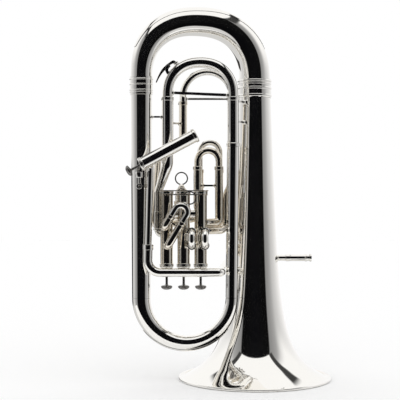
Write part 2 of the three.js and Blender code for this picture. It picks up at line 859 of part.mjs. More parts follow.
// A plain crook: two legs along a direction, joined by half a circle
function crookCorners(leftFoot, rightFoot, direction, reach) {
  const tip = leftFoot.clone().addScaledVector(direction, reach);
  const across = rightFoot.clone().sub(leftFoot);
  const drop = across.dot(direction);
  return [leftFoot, tip, tip.clone().add(across).addScaledVector(direction, -drop), rightFoot];
}

function makeCrook(corners, radius) {
  const bends = corners[1].distanceTo(corners[2]) / 2;
  const line = { corners, bends };
  return { line, tube: toSolid(pipe({ ...line, outer: even(radius), inner: even(radius - slideWall) })) };
}

function makeThirdSlide() {
  const foot = thirdSleeveTop - thirdInsert;
  const corners = crookCorners(vector(thirdSlideLeftX, thirdSlideY, foot),
    vector(thirdSlideRightX, thirdSlideY, foot), up, thirdSlideTop - foot);
  return makeCrook(corners, thirdSlideRadius).tube;
}

// Compensating slide of the third valve, behind its main slide
function makeRearSleeves() {
  const leftFoot = vector(rearSlideLeftX, rearSlideY, rearLeftPort);
  const rightFoot = vector(rearSlideRightX, rearSlideY, rearCrossHeight);
  const lines = [
    [atHeight(thirdValve, rearLeftPort), leftFoot],
    [
      atHeight(thirdValve, rearRightPort), vector(rearRiserX, rearRiserY, rearRightPort),
      vector(rearRiserX, rearRiserY, rearCrossHeight), rightFoot,
    ],
  ];
  const tubes = lines.map((line) => {
    const corners = [...line, line.at(-1).clone().setZ(rearSleeveTop)];
    const rows = sleeveRows(lineLength(corners, tubeRadius), rearSlideRadius, rearInsert, boreRadius);
    return valvedTube({ corners, bends: tubeRadius, ...rows }, thirdValve);
  });
  const outer = rearSlideRadius + slideGap + sleeveWall;
  const ends = [leftFoot, rightFoot].map((foot) => foot.clone().setZ(thirdBraceHeight));
  const bores = ends.map((end) =>
    uprightCutter(end.x, end.y, rearCrossHeight, rearSleeveTop, outer - sleeveWall / 2));
  const bar = brace(ends[0], ends[1], outer, outer).subtract(bores[0]).subtract(bores[1]);
  return sleevePair(tubes[0], tubes[1], bar);
}

function makeRearSlide() {
  const foot = rearSleeveTop - rearInsert;
  const corners = crookCorners(vector(rearSlideLeftX, rearSlideY, foot),
    vector(rearSlideRightX, rearSlideY, foot), up, rearSlideTop - foot);
  return makeCrook(corners, rearSlideRadius).tube;
}

// Fourth valve slide: the left leg opens into the fourth valve, the right one into the third
function makeFourthLeftSleeve() {
  const start = alongValve(fourthValve, fourthSlidePortAlong);
  const corners = [start, vector(fourthSlideLeftX, fourthSlideY, start.z),
    vector(fourthSlideLeftX, fourthSlideY, fourthSleeveTop)];
  const bends = 2 * tubeRadius;
  const rows = sleeveRows(lineLength(corners, bends), fourthSlideRadius, fourthInsert);
  const tube = valvedTube({ corners, bends, ...rows }, fourthValve);
  const outer = fourthSlideRadius + slideGap + sleeveWall;
  const from = vector(fourthSlideLeftX, fourthSlideY, sleeveBraceHeight);
  const to = vector(mainSlideLeftX, bodyY, sleeveBraceHeight);
  const bore = uprightCutter(from.x, from.y, start.z, fourthSleeveTop, outer - sleeveWall / 2);
  const seat = uprightCutter(to.x, to.y, mainOutBelow, mainSleeveTop, mainSleeveOuter + seatGap);
  return tube.add(brace(from, to, outer, mainSleeveOuter).subtract(bore).subtract(seat));
}

function makeFourthReturn() {
  const corners = [
    atHeight(thirdValve, fourthReturnPort),
    vector(fourthReturnX, fourthReturnY, fourthReturnPort),
    vector(fourthReturnX, fourthReturnY, fourthReturnBelow),
    vector(fourthSlideRightX, fourthSlideY, fourthReturnAbove),
    vector(fourthSlideRightX, fourthSlideY, fourthSleeveTop),
  ];
  const bends = 2 * tubeRadius;
  const rows = sleeveRows(lineLength(corners, bends), fourthSlideRadius, fourthInsert);
  return valvedTube({ corners, bends, ...rows }, thirdValve);
}

function makeFourthSlide() {
  const foot = fourthSleeveTop - fourthInsert;
  const corners = crookCorners(vector(fourthSlideLeftX, fourthSlideY, foot),
    vector(fourthSlideRightX, fourthSlideY, foot), up, fourthSlideTop - foot);
  const { line, tube } = makeCrook(corners, fourthSlideRadius);
  const middle = toSolid(core({ ...line, radius: fourthSlideRadius - slideWall / 2 }));
  const bar = brace(vector(fourthSlideLeftX, fourthSlideY, fourthBraceHeight),
    vector(fourthSlideRightX, fourthSlideY, fourthBraceHeight), fourthSlideRadius, fourthSlideRadius);
  return tube.add(bar.subtract(middle));
}

// A pull ring on a short foot, standing on the crown of a crook
function pullRing(crown, direction, radius) {
  const ring = new THREE.TorusGeometry(pullRingRadius, pullRingWire, braceSides, cutterSides);
  ring.rotateX(Math.PI / 2);
  const lift = radius + pullRingRadius + pullRingFoot / 2;
  const tip = crown.clone().addScaledVector(direction, radius + pullRingFoot);
  const foot = rod(crown, tip, pullRingFoot, braceSides);
  ring.translate(...crown.clone().addScaledVector(direction, lift).toArray());
  return toSolid(ring).add(toSolid(foot));
}

function ringedCrook(corners, radius, direction) {
  const { line, tube } = makeCrook(corners, radius);
  const middle = toSolid(core({ ...line, radius: radius - slideWall / 2 }));
  const crown = corners[1].clone().lerp(corners[2], 1 / 2);
  return tube.add(pullRing(crown, direction, radius).subtract(middle));
}

// Front slide of the first valve, which rises to the right
const firstAlong = vector(Math.cos(radians(firstSlideTilt)), 0, Math.sin(radians(firstSlideTilt)));
const firstAcross = vector(Math.sin(radians(firstSlideTilt)), 0, -Math.cos(radians(firstSlideTilt)));

function firstSlideEnds() {
  const centre = vector(firstBendX, firstSlideY, firstBendZ);
  const upper = centre.clone().addScaledVector(firstAcross, -firstBendRadius);
  const lower = centre.clone().addScaledVector(firstAcross, firstBendRadius);
  return [[upper, firstUpperLeg], [lower, firstLowerLeg]].map(([bend, leg]) => ({
    bend, foot: bend.clone().addScaledVector(firstAlong, -leg),
    mouth: bend.clone().addScaledVector(firstAlong, -firstMouthSetback),
  }));
}

function makeFirstSleeves() {
  const [upper, lower] = firstSlideEnds();
  const tubes = [upper, lower].map(({ foot, mouth }) => {
    const valvePoint = atHeight(firstValve, foot.z);
    const corners = [valvePoint, foot, mouth];
    const bends = firstSlideRadius + sleeveWall;
    const rows = sleeveRows(lineLength(corners, bends), firstSlideRadius, firstInsert, bends);
    return valvedTube({ corners, bends, ...rows }, firstValve);
  });
  const outer = firstSlideRadius + slideGap + sleeveWall;
  const middle = upper.mouth.clone().addScaledVector(firstAlong, -ferruleLength - braceFootRadius);
  const facing = middle.clone().addScaledVector(firstAcross, 2 * firstBendRadius);
  const bar = toSolid(rod(middle, facing, braceRadius, braceSides));
  const bores = [middle, facing].map((place) => toSolid(rod(
    place.clone().addScaledVector(firstAlong, -4 * braceFootRadius),
    place.clone().addScaledVector(firstAlong, 4 * braceFootRadius), outer - sleeveWall / 2, cutterSides,
  )));
  return sleevePair(tubes[0], tubes[1], bar.subtract(bores[0]).subtract(bores[1]));
}

function makeFirstSlide() {
  const [upper, lower] = firstSlideEnds();
  const feet = [upper, lower].map(({ mouth }) => mouth.clone().addScaledVector(firstAlong, -firstInsert));
  const reach = upper.bend.clone().sub(feet[0]).dot(firstAlong) + firstBendRadius;
  return ringedCrook(crookCorners(feet[0], feet[1], firstAlong, reach), firstSlideRadius, firstAlong);
}

// Compensating slide of the first valve, rising behind the casings
function risingX(turn) {
  return risingSlideX + (turn * risingSlideSpacing) / 2;
}

function makeRisingSleeves() {
  const ends = [[risingX(-1), risingLeftPort], [risingX(1), risingRightPort]];
  const tubes = ends.map(([x, port]) => {
    const foot = vector(x, risingSlideY, port);
    const corners = [atHeight(secondValve, port), foot, foot.clone().setZ(risingSleeveTop)];
    const rows = sleeveRows(lineLength(corners, boreRadius), risingSlideRadius, risingInsert,
      risingSlideRadius + slideGap + sleeveWall);
    return valvedTube({ corners, bends: boreRadius, ...rows }, secondValve);
  });
  const outer = risingSlideRadius + slideGap + sleeveWall;
  const height = (risingSleeveTop + risingLeftPort) / 2;
  const feet = [-1, 1].map((turn) => vector(risingX(turn), risingSlideY, height));
  const bar = toSolid(rod(feet[0], feet[1], braceRadius, braceSides));
  const bores = ends.map(([x, port]) =>
    uprightCutter(x, risingSlideY, port, risingSleeveTop, outer - sleeveWall / 2));
  return sleevePair(tubes[0], tubes[1], bar.subtract(bores[0]).subtract(bores[1]));
}

function makeRisingSlide() {
  const foot = risingSleeveTop - risingInsert;
  const feet = [-1, 1].map((turn) => vector(risingX(turn), risingSlideY, foot));
  return ringedCrook(crookCorners(feet[0], feet[1], up, risingSlideTop - foot), risingSlideRadius, up);
}

// The two small slides that point to the front, one above the other leg
function frontEnds(x) {
  return [-1, 1].map((turn) => vector(x, 0, frontSlideHeight + (turn * frontSlideSpacing) / 2));
}

function makeFrontSleeves(x, valve) {
  const outer = frontSlideRadius + slideGap + sleeveWall;
  const depth = bodyY - casingRadius - outer + braceFootLength;
  const tubes = frontEnds(x).map((end) => {
    const corners = [atHeight(valve, end.z), end.clone().setY(depth), end.clone().setY(frontSleeveFace)];
    const rows = sleeveRows(lineLength(corners, outer), frontSlideRadius, ferruleLength / 2, outer);
    return valvedTube({ corners, bends: outer, ...rows }, valve);
  });
  const middle = (depth + frontSleeveFace - ferruleLength) / 2;
  const [low, high] = frontEnds(x).map((end) => end.clone().setY(middle));
  const bar = toSolid(rod(low, high, braceRadius, braceSides));
  const bores = [low, high].map((end) => toSolid(rod(
    end.clone().setY(frontSleeveFace), end.clone().setY(bodyY), outer - sleeveWall / 2, cutterSides,
  )));
  return sleevePair(tubes[0], tubes[1], bar.subtract(bores[0]).subtract(bores[1]));
}

function makeFrontSlide(x) {
  const start = frontSleeveFace + frontInsert;
  const [low, high] = frontEnds(x).map((end) => end.setY(start));
  const forward = back.clone().negate();
  const reach = start - (frontSlideFace + frontSlideRadius);
  return makeCrook(crookCorners(low, high, forward, reach), frontSlideRadius).tube;
}

// Air way: leadpipe from the receiver round the back of the bell to the fourth valve
function leadCorners() {
  const end = alongValve(fourthValve, leadPortAlong);
  return [
    end, vector(leadTopX, leadY, end.z - casingRadius), vector(leadX, leadY, leadRunHeight),
    vector(leadTopRunX, leadY, leadRunHeight), vector(leadPassX, leadPassY, leadPassHeight),
    vector(leadBehindX, leadBehindY, leadBehindHeight), vector(0, leadCrownY, receiverHeight),
    vector(leadOutX, receiverY, receiverHeight), vector(receiverStart - seatGap, receiverY, receiverHeight),
  ];
}

function makeLeadpipe() {
  const corners = leadCorners();
  const bends = leadBendShares.map((share) => share * leadWideRadius);
  const length = lineLength(corners, bends);
  const ferrule = lineLength(corners.slice(0, 3), leadWideRadius) - 6 * leadWideRadius;
  const outer = [
    [0, leadWideRadius], [ferrule - ferruleLength, leadWideRadius],
    [ferrule - ferruleLength + ferruleWall, leadWideRadius + ferruleWall],
    [ferrule, leadWideRadius + ferruleWall], [ferrule + ferruleWall, leadWideRadius],
    [length, leadNarrowRadius],
  ];
  const inner = [[0, leadWideRadius - leadWall], [length, leadNarrowRadius - leadWall]];
  return valvedTube({ corners, bends, outer, inner, side: up }, fourthValve);
}

// Mouthpiece receiver: a stepped socket whose bore widens to the mouth
function makeReceiver() {
  const length = receiverEnd - receiverStart;
  const neck = leadNarrowRadius + receiverRing;
  const bore = leadNarrowRadius - leadWall;
  const rows = [
    [bore, 0], [neck, 0], [neck, length / 6], [receiverRadius, length / 4],
    [receiverRadius, (3 * length) / 4],
    [receiverRadius + receiverRing, (3 * length) / 4 + receiverRing],
    [receiverRadius + receiverRing, (3 * length) / 4 + 2 * receiverRing],
    [receiverRadius, (3 * length) / 4 + 3 * receiverRing], [receiverRadius, length - 4 * receiverRing],
    [receiverMouthRadius, length - 2 * receiverRing], [receiverMouthRadius, length],
    [shankRadius + receiverRing, length], [shankRadius, length - 2 * receiverRing],
    [bore, length / 4],
  ];
  return aimed(turnedRing(rows, tubeSides), vector(receiverStart, receiverY, receiverHeight), right);
}

// Feed tube from the fourth valve down behind the casings to the third
function makeFeed() {
  const start = alongValve(fourthValve, feedPortAlong);
  const corners = [
    start, vector(start.x, feedY, start.z), vector(feedX, feedY, feedLowHeight),
    atHeight(thirdValve, feedPort).setY(feedY), atHeight(thirdValve, feedPort),
  ];
  const radius = boreRadius + sleeveWall / 2;
  const outer = even(radius);
  return valvedTube({
    corners, bends: [2 * radius, 2 * radius, radius + sleeveWall], outer, inner: even(radius - tubeWall),
  }, fourthValve, thirdValve);
}

function makeKnuckle(from, to) {
  return valvedTube({
    corners: [atHeight(from, knuckleHeight), atHeight(to, knuckleHeight)],
    outer: even(tubeRadius), inner: even(tubeRadius - tubeWall), side: up,
  }, from, to);
}

// Plate that ties the three upright casings
function makePlate() {
  const radius = casingRadius + plateMargin;
  const shape = new THREE.Shape();
  const [left, far] = [firstValve.foot.x, thirdValve.foot.x];
  shape.absarc(left, bodyY, radius, Math.PI / 2, (3 * Math.PI) / 2);
  shape.absarc(far, bodyY, radius, -Math.PI / 2, Math.PI / 2);
  const plate = new THREE.ExtrudeGeometry(shape, {
    depth: plateThickness, bevelEnabled: false, curveSegments: thinSides,
  });
  const high = valveFoot + valveLength - bottomCapHeight - seatGap;
  let form = toSolid(plate.translate(0, 0, high - plateThickness));
  for (const valve of [firstValve, secondValve, thirdValve]) form = form.subtract(casingCutter(valve));
  return form;
}

// One valve's own pieces, each made along +Z from the outer end of the top cap
const casingStart = (valve) => valve.cap / 2;
const casingEnd = (valve) => valve.length - bottomCapFloor - seatGap;
const pistonStart = (valve) => casingStart(valve) + feltThickness;

function makeCasing(valve) {
  const inner = casingRadius - casingWall;
  const rows = [
    [inner, casingStart(valve)], [casingRadius, casingStart(valve)], [casingRadius, casingEnd(valve)],
    [inner, casingEnd(valve)],
  ];
  let form = toSolid(turnedRing(rows, valveSides));
  const home = valveMatrix(valve).invert();
  for (const { from, reach } of ports.get(valve.name)) {
    form = form.subtract(toSolid(rod(from, reach, boreRadius, thinSides).applyMatrix4(home)));
  }
  return form;
}

function makeTopCap(valve) {
  const inner = around(casingRadius, valveSides);
  const hole = stemRadius + 2 * seatGap;
  const floor = casingStart(valve) - seatGap;
  return turnedRing([
    [hole, 0], [topCapRadius - capCrownHeight, 0], [topCapRadius, capCrownHeight],
    [topCapRadius, valve.cap], [inner, valve.cap], [inner, floor], [hole, floor],
  ], valveSides);
}

function makeBottomCap(valve) {
  const inner = around(casingRadius, valveSides);
  const low = valve.length - bottomCapHeight;
  const floor = valve.length - bottomCapFloor;
  return turnedRing([
    [inner, low], [topCapRadius, low], [topCapRadius, floor], [topCapRadius - bottomCapFloor, valve.length],
    [ventRadius, valve.length], [ventRadius, floor], [inner, floor],
  ], valveSides);
}

// Piston: a drum with two passages that cross it at rest and pressed, and a hollow foot
function makePiston(valve) {
  const radius = casingRadius - casingWall - slideGap;
  const [low, high] = [pistonStart(valve), pistonStart(valve) + valve.piston];
  const hollow = high - valve.piston * pistonFootShare;
  const drum = turned([
    [0, low], [radius - casingWall, low], [radius, low + casingWall], [radius, high],
    [radius - casingWall, high], [radius - casingWall, hollow], [0, hollow],
  ], valveSides);
  let form = toSolid(drum);
  passageShares.forEach((share, i) => {
    const turn = (i * Math.PI) / passageShares.length;
    const slope = vector(Math.cos(turn), Math.sin(turn), (1 - i) * passageSlope).normalize();
    const centre = vector(0, 0, low + share * valve.piston);
    const reach = casingRadius + overrun;
    const ends = [-reach, reach].map((distance) => centre.clone().addScaledVector(slope, distance));
    form = form.subtract(toSolid(rod(ends[0], ends[1], boreRadius, braceSides)));
  });
  return form;
}

// Finger button with its stem, dished for the finger
function makeButton(valve) {
  const under = -valve.stem;
  const tip = under - buttonThickness;
  return turned([
    [0, pistonStart(valve) - seatGap], [stemRadius, pistonStart(valve) - seatGap], [stemRadius, under],
    [buttonRadius - buttonDish, under], [buttonRadius, under - buttonDish],
    [buttonRadius, tip + buttonDish], [buttonRadius - buttonDish, tip],
    [buttonRadius / 2, tip + buttonDish / 2], [0, tip + buttonDish],
  ], tubeSides);
}

// Piston spring, coiled between the piston's foot and the bottom cap
function makeSpring(valve) {
  const low = pistonStart(valve) + valve.piston * (1 - pistonFootShare) + springWire + seatGap;
  const high = valve.length - bottomCapFloor - springWire - seatGap;
  const steps = springTurns * springTurnSteps;
  const points = Array.from({ length: steps + 1 }, (_, i) => {
    const angle = (2 * Math.PI * i) / springTurnSteps;
    const height = low + ((high - low) * i) / steps;
    return vector(springRadius * Math.cos(angle), springRadius * Math.sin(angle), height);
  });
  const path = new THREE.CatmullRomCurve3(points);
  const section = new THREE.Shape().absarc(0, 0, springWire, 0, 2 * Math.PI);
  return tidied(new THREE.ExtrudeGeometry(section, { steps, extrudePath: path, curveSegments: 2 }));
}

function valveMatrix(valve) {
  const turn = new THREE.Quaternion().setFromUnitVectors(up, valve.axis);
  return new THREE.Matrix4().compose(valve.foot, turn, vector(1, 1, 1));
}

// Water key: a lever on a pivot barrel, with its pad cup on the crook's crown side
function makeWaterKey() {
  const pad = besideCrook(waterKeyPadAngle, seatGap);
  const padTop = besideCrook(waterKeyPadAngle, seatGap + waterKeyPadHeight);
  const cup = rod(pad, padTop, waterKeyPadRadius, tubeSides);
  const pivot = besideCrook(waterKeyPivotAngle, waterKeyPivotReach);
  const ends = [-1, 1].map((turn) => pivot.clone().add(vector(0, (turn * waterKeyPivotLength) / 2, 0)));
  const barrel = rod(ends[0], ends[1], waterKeyPivotRadius, thinSides);
  const lever = new THREE.CatmullRomCurve3([
    besideCrook(waterKeyPadAngle, waterKeyPadHeight / 2), pivot,
    besideCrook(waterKeyPivotAngle + waterKeyArm / 2, waterKeyPivotReach + waterKeyThickness),
    besideCrook(waterKeyPivotAngle + waterKeyArm, waterKeyPivotReach + waterKeyPadHeight),
  ]);
  const [thick, wide] = [waterKeyThickness / 2, waterKeyWidth / 2];
  const section = new THREE.Shape([
    new THREE.Vector2(-thick, -wide), new THREE.Vector2(thick, -wide), new THREE.Vector2(thick, wide),
    new THREE.Vector2(-thick, wide),
  ]);
  const bar = new THREE.ExtrudeGeometry(section, { steps: 2 * bendSteps, extrudePath: lever });
  return toSolid(cup).add(toSolid(bar)).add(toSolid(barrel));
}

// Lyre holder: a cup on a post, which stands on a round boss of the left branch
function makeLyreHolder() {
  const centre = vector(lyreX, bodyY, lyreBossHeight);
  const face = centre.clone().setY(lyreBossFace);
  const holeEnds = [lyreHoleDepth, -overrun].map((depth) => face.clone().setY(lyreBossFace + depth));
  const hole = rod(holeEnds[0], holeEnds[1], lyreHoleRadius, thinSides);
  const foot = vector(lyreX, lyreY, lyreSocketFoot);
  const postEnds = [lyreBossHeight, lyreSocketFoot + seatGap].map((z) => foot.clone().setZ(z));
  const post = rod(postEnds[0], postEnds[1], lyrePostRadius, braceSides);
  const cup = turned([
    [0, 0], [lyreSocketRadius, 0], [lyreSocketRadius, lyreSocketLength],
    [lyreSocketRadius - lyreSocketWall, lyreSocketLength],
    [lyreSocketRadius - lyreSocketWall, lyreSocketWall], [0, lyreSocketWall],
  ], tubeSides);
  const seat = uprightCutter(branchX, bodyY, branchFootHeight, bowFootHeight,
    around(branchRadiusAt(lyreBossHeight), cutterSides));
  return toSolid(rod(centre, face, lyreBossRadius, tubeSides))
    .add(toSolid(post))
    .subtract(toSolid(hole))
    .subtract(seat)
    .add(toSolid(aimed(cup, foot, up)));
}

// The assembly
const instrument = new THREE.Group();

function addTo(group, name, form, finish) {
  const geometry = form.isBufferGeometry ? form : toGeometry(form);
  geometry.computeVertexNormals();
  const mesh = new THREE.Mesh(geometry, new THREE.MeshStandardMaterial(finish));
  mesh.name = name;
  group.add(mesh);
}

const add = (name, form, finish = silver) => addTo(instrument, name, form, finish);

add('bell', makeBell());
add('bell_garland', makeGarland());
add('large_bow', makeLargeBow());
add('large_bow_guard', makeLargeBowGuard());
add('branch_ferrule', makeBranchFerrule());
add('left_branch', makeLeftBranch());
add('small_bow', makeSmallBow());
add('small_bow_guard', makeSmallBowGuard());
add('first_branch', makeFirstBranch());
add('main_sleeve_right', makeRightSleeve());
add('main_sleeve_left', makeLeftSleeve());
add('main_tuning_slide', makeMainSlide());
add('third_slide_sleeves', makeThirdSleeves());
add('third_valve_slide', makeThirdSlide());
add('third_compensating_sleeves', makeRearSleeves());
add('third_compensating_slide', makeRearSlide());
add('fourth_sleeve_left', makeFourthLeftSleeve());
add('fourth_return_tube', makeFourthReturn());
add('fourth_valve_slide', makeFourthSlide());
add('first_slide_sleeves', makeFirstSleeves());
add('first_valve_slide', makeFirstSlide());
add('first_compensating_sleeves', makeRisingSleeves());
add('first_compensating_slide', makeRisingSlide());
add('second_slide_sleeves', makeFrontSleeves(secondSlideX, secondValve));
add('second_valve_slide', makeFrontSlide(secondSlideX));
add('second_compensating_sleeves', makeFrontSleeves(frontCompX, thirdValve));
add('second_compensating_slide', makeFrontSlide(frontCompX));
add('leadpipe', makeLeadpipe());
add('mouthpiece_receiver', makeReceiver());
add('valve_feed_tube', makeFeed());
add('valve_knuckle_12', makeKnuckle(firstValve, secondValve));
add('valve_knuckle_23', makeKnuckle(secondValve, thirdValve));
add('valve_plate', makePlate());
add('water_key', makeWaterKey());
add('lyre_holder', makeLyreHolder());

for (const valve of valveList) {
  const group = new THREE.Group();
  group.applyMatrix4(valveMatrix(valve));
  addTo(group, `valve_casing_${valve.name}`, makeCasing(valve), silver);
  addTo(group, `valve_top_cap_${valve.name}`, makeTopCap(valve), wornSilver);
  addTo(group, `valve_bottom_cap_${valve.name}`, makeBottomCap(valve), wornSilver);
  addTo(group, `piston_${valve.name}`, makePiston(valve), steel);
  addTo(group, `finger_button_${valve.name}`, makeButton(valve), wornSilver);
  addTo(group, `valve_spring_${valve.name}`, makeSpring(valve), steel);
  instrument.add(group);
}

// The origin is under the middle of the whole, on the plane of the rim
instrument.updateMatrixWorld(true);
const room = new THREE.Box3().setFromObject(instrument, true);
const middle = room.getCenter(vector(0, 0, 0));
instrument.position.set(-middle.x, -middle.y, -room.min.z);

const euphonium = new THREE.Group();
euphonium.add(instrument);
export default euphonium;
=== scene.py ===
# %% [markdown]
# # A euphonium in polished silver plate
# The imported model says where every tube, valve and slide sits. Its tubes have few sides, and a
# mirror finish shows each of them. So each visible piece is worked out again here as a fine smooth
# surface at the same place, and the finish, the light and the camera are added. The leadpipe and
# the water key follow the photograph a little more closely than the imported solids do.

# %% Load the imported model
import math

import bpy
import bmesh
import numpy as np
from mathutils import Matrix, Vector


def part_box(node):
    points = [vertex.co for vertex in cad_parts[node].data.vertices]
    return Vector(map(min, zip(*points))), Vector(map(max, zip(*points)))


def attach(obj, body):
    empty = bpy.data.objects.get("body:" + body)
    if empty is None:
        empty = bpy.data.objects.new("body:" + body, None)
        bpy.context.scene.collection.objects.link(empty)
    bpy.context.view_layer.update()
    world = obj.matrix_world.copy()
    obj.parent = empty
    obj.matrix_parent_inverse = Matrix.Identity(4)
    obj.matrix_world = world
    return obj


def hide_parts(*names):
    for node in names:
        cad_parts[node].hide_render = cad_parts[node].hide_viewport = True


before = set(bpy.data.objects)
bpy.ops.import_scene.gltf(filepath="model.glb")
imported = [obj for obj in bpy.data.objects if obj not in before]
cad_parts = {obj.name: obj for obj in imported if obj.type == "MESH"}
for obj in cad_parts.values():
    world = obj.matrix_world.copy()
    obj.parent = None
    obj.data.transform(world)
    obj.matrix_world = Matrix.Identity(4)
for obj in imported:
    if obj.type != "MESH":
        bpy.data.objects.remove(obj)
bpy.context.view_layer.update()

# %% [markdown]
# ## Where the bell's axis is
# Sizes below are millimetres, with X and Y measured from the bell's axis and Z from the rim's
# plane, as a maker would draw it. The model's origin is under the middle of the whole, so the
# bell's own box gives the shift between the two.

# %% From drawing sizes to the model's metres
low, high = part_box("bell")
bell_axis = np.array([(low[0] + high[0]) / 2, (low[1] + high[1]) / 2, low[2]])
Z = np.array([0.0, 0.0, 1.0])
X = np.array([1.0, 0.0, 0.0])
Y = np.array([0.0, 1.0, 0.0])


def at(x, y, z):
    """A point in drawing millimetres."""
    return np.array([x, y, z], float)


def unit(v):
    """The same direction with length one: each vector divided by its own length."""
    return v / np.linalg.norm(v, axis=-1, keepdims=True)


print("bell axis at", np.round(bell_axis, 4))

# %% [markdown]
# ## Silver plate
# Polished silver mirrors the room. It is a little yellow, so light that bounces between two tubes
# turns tan. Handling leaves a faint haze and a fine unevenness of the polish, so the roughness and
# a very small bump come from noise on Object coordinates.

# %% The finishes
def finish(name, colour, roughness, haze, grain, dullness):
    """Metal: roughness = base + haze x noise, colour darkened by dullness x coarse noise."""
    material = bpy.data.materials.new(name)
    material.use_nodes = True
    nodes, links = material.node_tree.nodes, material.node_tree.links
    shader = nodes["Principled BSDF"]
    shader.inputs["Metallic"].default_value = 1.0
    place = nodes.new("ShaderNodeTexCoord")
    coarse = nodes.new("ShaderNodeTexNoise")
    coarse.inputs["Scale"].default_value = 9.0
    coarse.inputs["Detail"].default_value = 4.0
    links.new(place.outputs["Object"], coarse.inputs["Vector"])
    fine = nodes.new("ShaderNodeTexNoise")
    fine.inputs["Scale"].default_value = grain
    fine.inputs["Detail"].default_value = 3.0
    links.new(place.outputs["Object"], fine.inputs["Vector"])
    spread = nodes.new("ShaderNodeMapRange")
    spread.inputs["From Min"].default_value = 0.35
    spread.inputs["From Max"].default_value = 0.75
    spread.inputs["To Min"].default_value = roughness
    spread.inputs["To Max"].default_value = roughness + haze
    links.new(coarse.outputs["Fac"], spread.inputs["Value"])
    links.new(spread.outputs["Result"], shader.inputs["Roughness"])
    tint = nodes.new("ShaderNodeMix")
    tint.data_type = "RGBA"
    tint.inputs["A"].default_value = (*colour, 1)
    tint.inputs["B"].default_value = (*[c * (1 - dullness) for c in colour], 1)
    links.new(coarse.outputs["Fac"], tint.inputs["Factor"])
    links.new(tint.outputs["Result"], shader.inputs["Base Color"])
    bump = nodes.new("ShaderNodeBump")
    bump.inputs["Strength"].default_value = 0.015
    bump.inputs["Distance"].default_value = 0.0004
    links.new(fine.outputs["Fac"], bump.inputs["Height"])
    links.new(bump.outputs["Normal"], shader.inputs["Normal"])
    return material


silver = finish("silver_plate", (0.975, 0.957, 0.918), 0.03, 0.045, 90.0, 0.04)
# Browner silver for the tubes inside the valve block: partly tarnish, partly painted reflection between the
# tubes.
tarnish_and_painted_bounce_silver = finish("tarnish_and_painted_bounce_finish", (0.97, 0.91, 0.81), 0.04, 0.06, 110.0, 0.14)
cap_silver = finish("handled_silver", (0.95, 0.925, 0.875), 0.07, 0.08, 160.0, 0.12)
# The finger buttons' dark colour is a painted dark reflection.
dark_painted_reflection_button = finish("painted_dark_reflection_button", (0.27, 0.26, 0.25), 0.2, 0.1, 200.0, 0.25)
steel = finish("spring_steel", (0.62, 0.62, 0.63), 0.25, 0.1, 300.0, 0.1)
print("finishes:", [m.name for m in (silver, tarnish_and_painted_bounce_silver, cap_silver, dark_painted_reflection_button, steel)])

# %% [markdown]
# ## Skins of rings
# Nearly every piece is rings of points joined into one closed skin. A hollow tube is its outer
# rings followed by its inner rings in reverse, and the last ring meets the first.

# %% Rings to meshes
def skin(rings, loop=True):
    """Quads between neighbouring rings: point k of ring i joins k and k+1 of ring i+1."""
    count, sides = rings.shape[:2]
    i = np.arange(count if loop else count - 1)[:, None]
    k = np.arange(sides)[None, :]
    j, n = (i + 1) % count, (k + 1) % sides
    quads = np.stack([i * sides + k, i * sides + n, j * sides + n, j * sides + k], axis=-1)
    return rings.reshape(-1, 3), quads.reshape(-1, 4)


def add_piece(name, parts, body, nodes, material=silver, sharp=34):
    """Joins closed skins, drops doubled points, and gives the piece its finish and its body."""
    points, faces, start = [], [], 0
    for vertices, quads in parts:
        points.append(bell_axis + vertices / 1000)
        faces.append(quads + start)
        start += len(vertices)
    mesh = bpy.data.meshes.new(name)
    mesh.from_pydata(np.concatenate(points).tolist(), [], np.concatenate(faces).tolist())
    work = bmesh.new()
    work.from_mesh(mesh)
    bmesh.ops.remove_doubles(work, verts=work.verts, dist=1e-6)
    bmesh.ops.recalc_face_normals(work, faces=work.faces)
    work.to_mesh(mesh)
    work.free()
    mesh.shade_smooth()
    mesh.set_sharp_from_angle(angle=math.radians(sharp))
    mesh.materials.append(material)
    piece = bpy.data.objects.new(name, mesh)
    bpy.context.scene.collection.objects.link(piece)
    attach(piece, body)
    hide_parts(*nodes)
    return piece


print("skin of a test ring:", skin(np.zeros((3, 8, 3)))[1].shape)

# %% [markdown]
# ## Bent tubes
# A tube bender makes straight runs joined by round bends. So a route is a list of corners with a
# bend radius at each, and the tube is a circle carried along it. The circle is turned no more than
# the route turns, so that its lines of points don't twist.

# %% Routes and tubes
def route(corners, bends=0.0, step=0.07):
    """Straight runs, and at each inner corner an arc that is tangent to both of its runs."""
    corners = [np.asarray(c, float) for c in corners]
    bends = bends if isinstance(bends, (list, tuple)) else [bends] * (len(corners) - 2)
    points, ahead = [corners[0][None]], [unit(corners[1] - corners[0])[None]]
    for i, bend in enumerate(bends, start=1):
        a, b = unit(corners[i] - corners[i - 1]), unit(corners[i + 1] - corners[i])
        turn = math.acos(max(-1, min(1, float(a @ b))))
        inward = unit(np.cross(np.cross(a, b), a))
        centre = corners[i] - a * bend * math.tan(turn / 2) + inward * bend
        angle = np.linspace(0, turn, max(2, round(turn / step)) + 1)[:, None]
        points.append(centre - inward * bend * np.cos(angle) + a * bend * np.sin(angle))
        ahead.append(a * np.cos(angle) + inward * np.sin(angle))
    points.append(corners[-1][None])
    ahead.append(unit(corners[-1] - corners[-2])[None])
    points, ahead = np.concatenate(points), np.concatenate(ahead)
    keep = np.r_[True, np.linalg.norm(np.diff(points, axis=0), axis=1) > 0.05]
    points, ahead = points[keep], ahead[keep]
    away = np.r_[0, np.cumsum(np.linalg.norm(np.diff(points, axis=0), axis=1))]
    return {"points": points, "ahead": ahead, "away": away, "length": float(away[-1])}


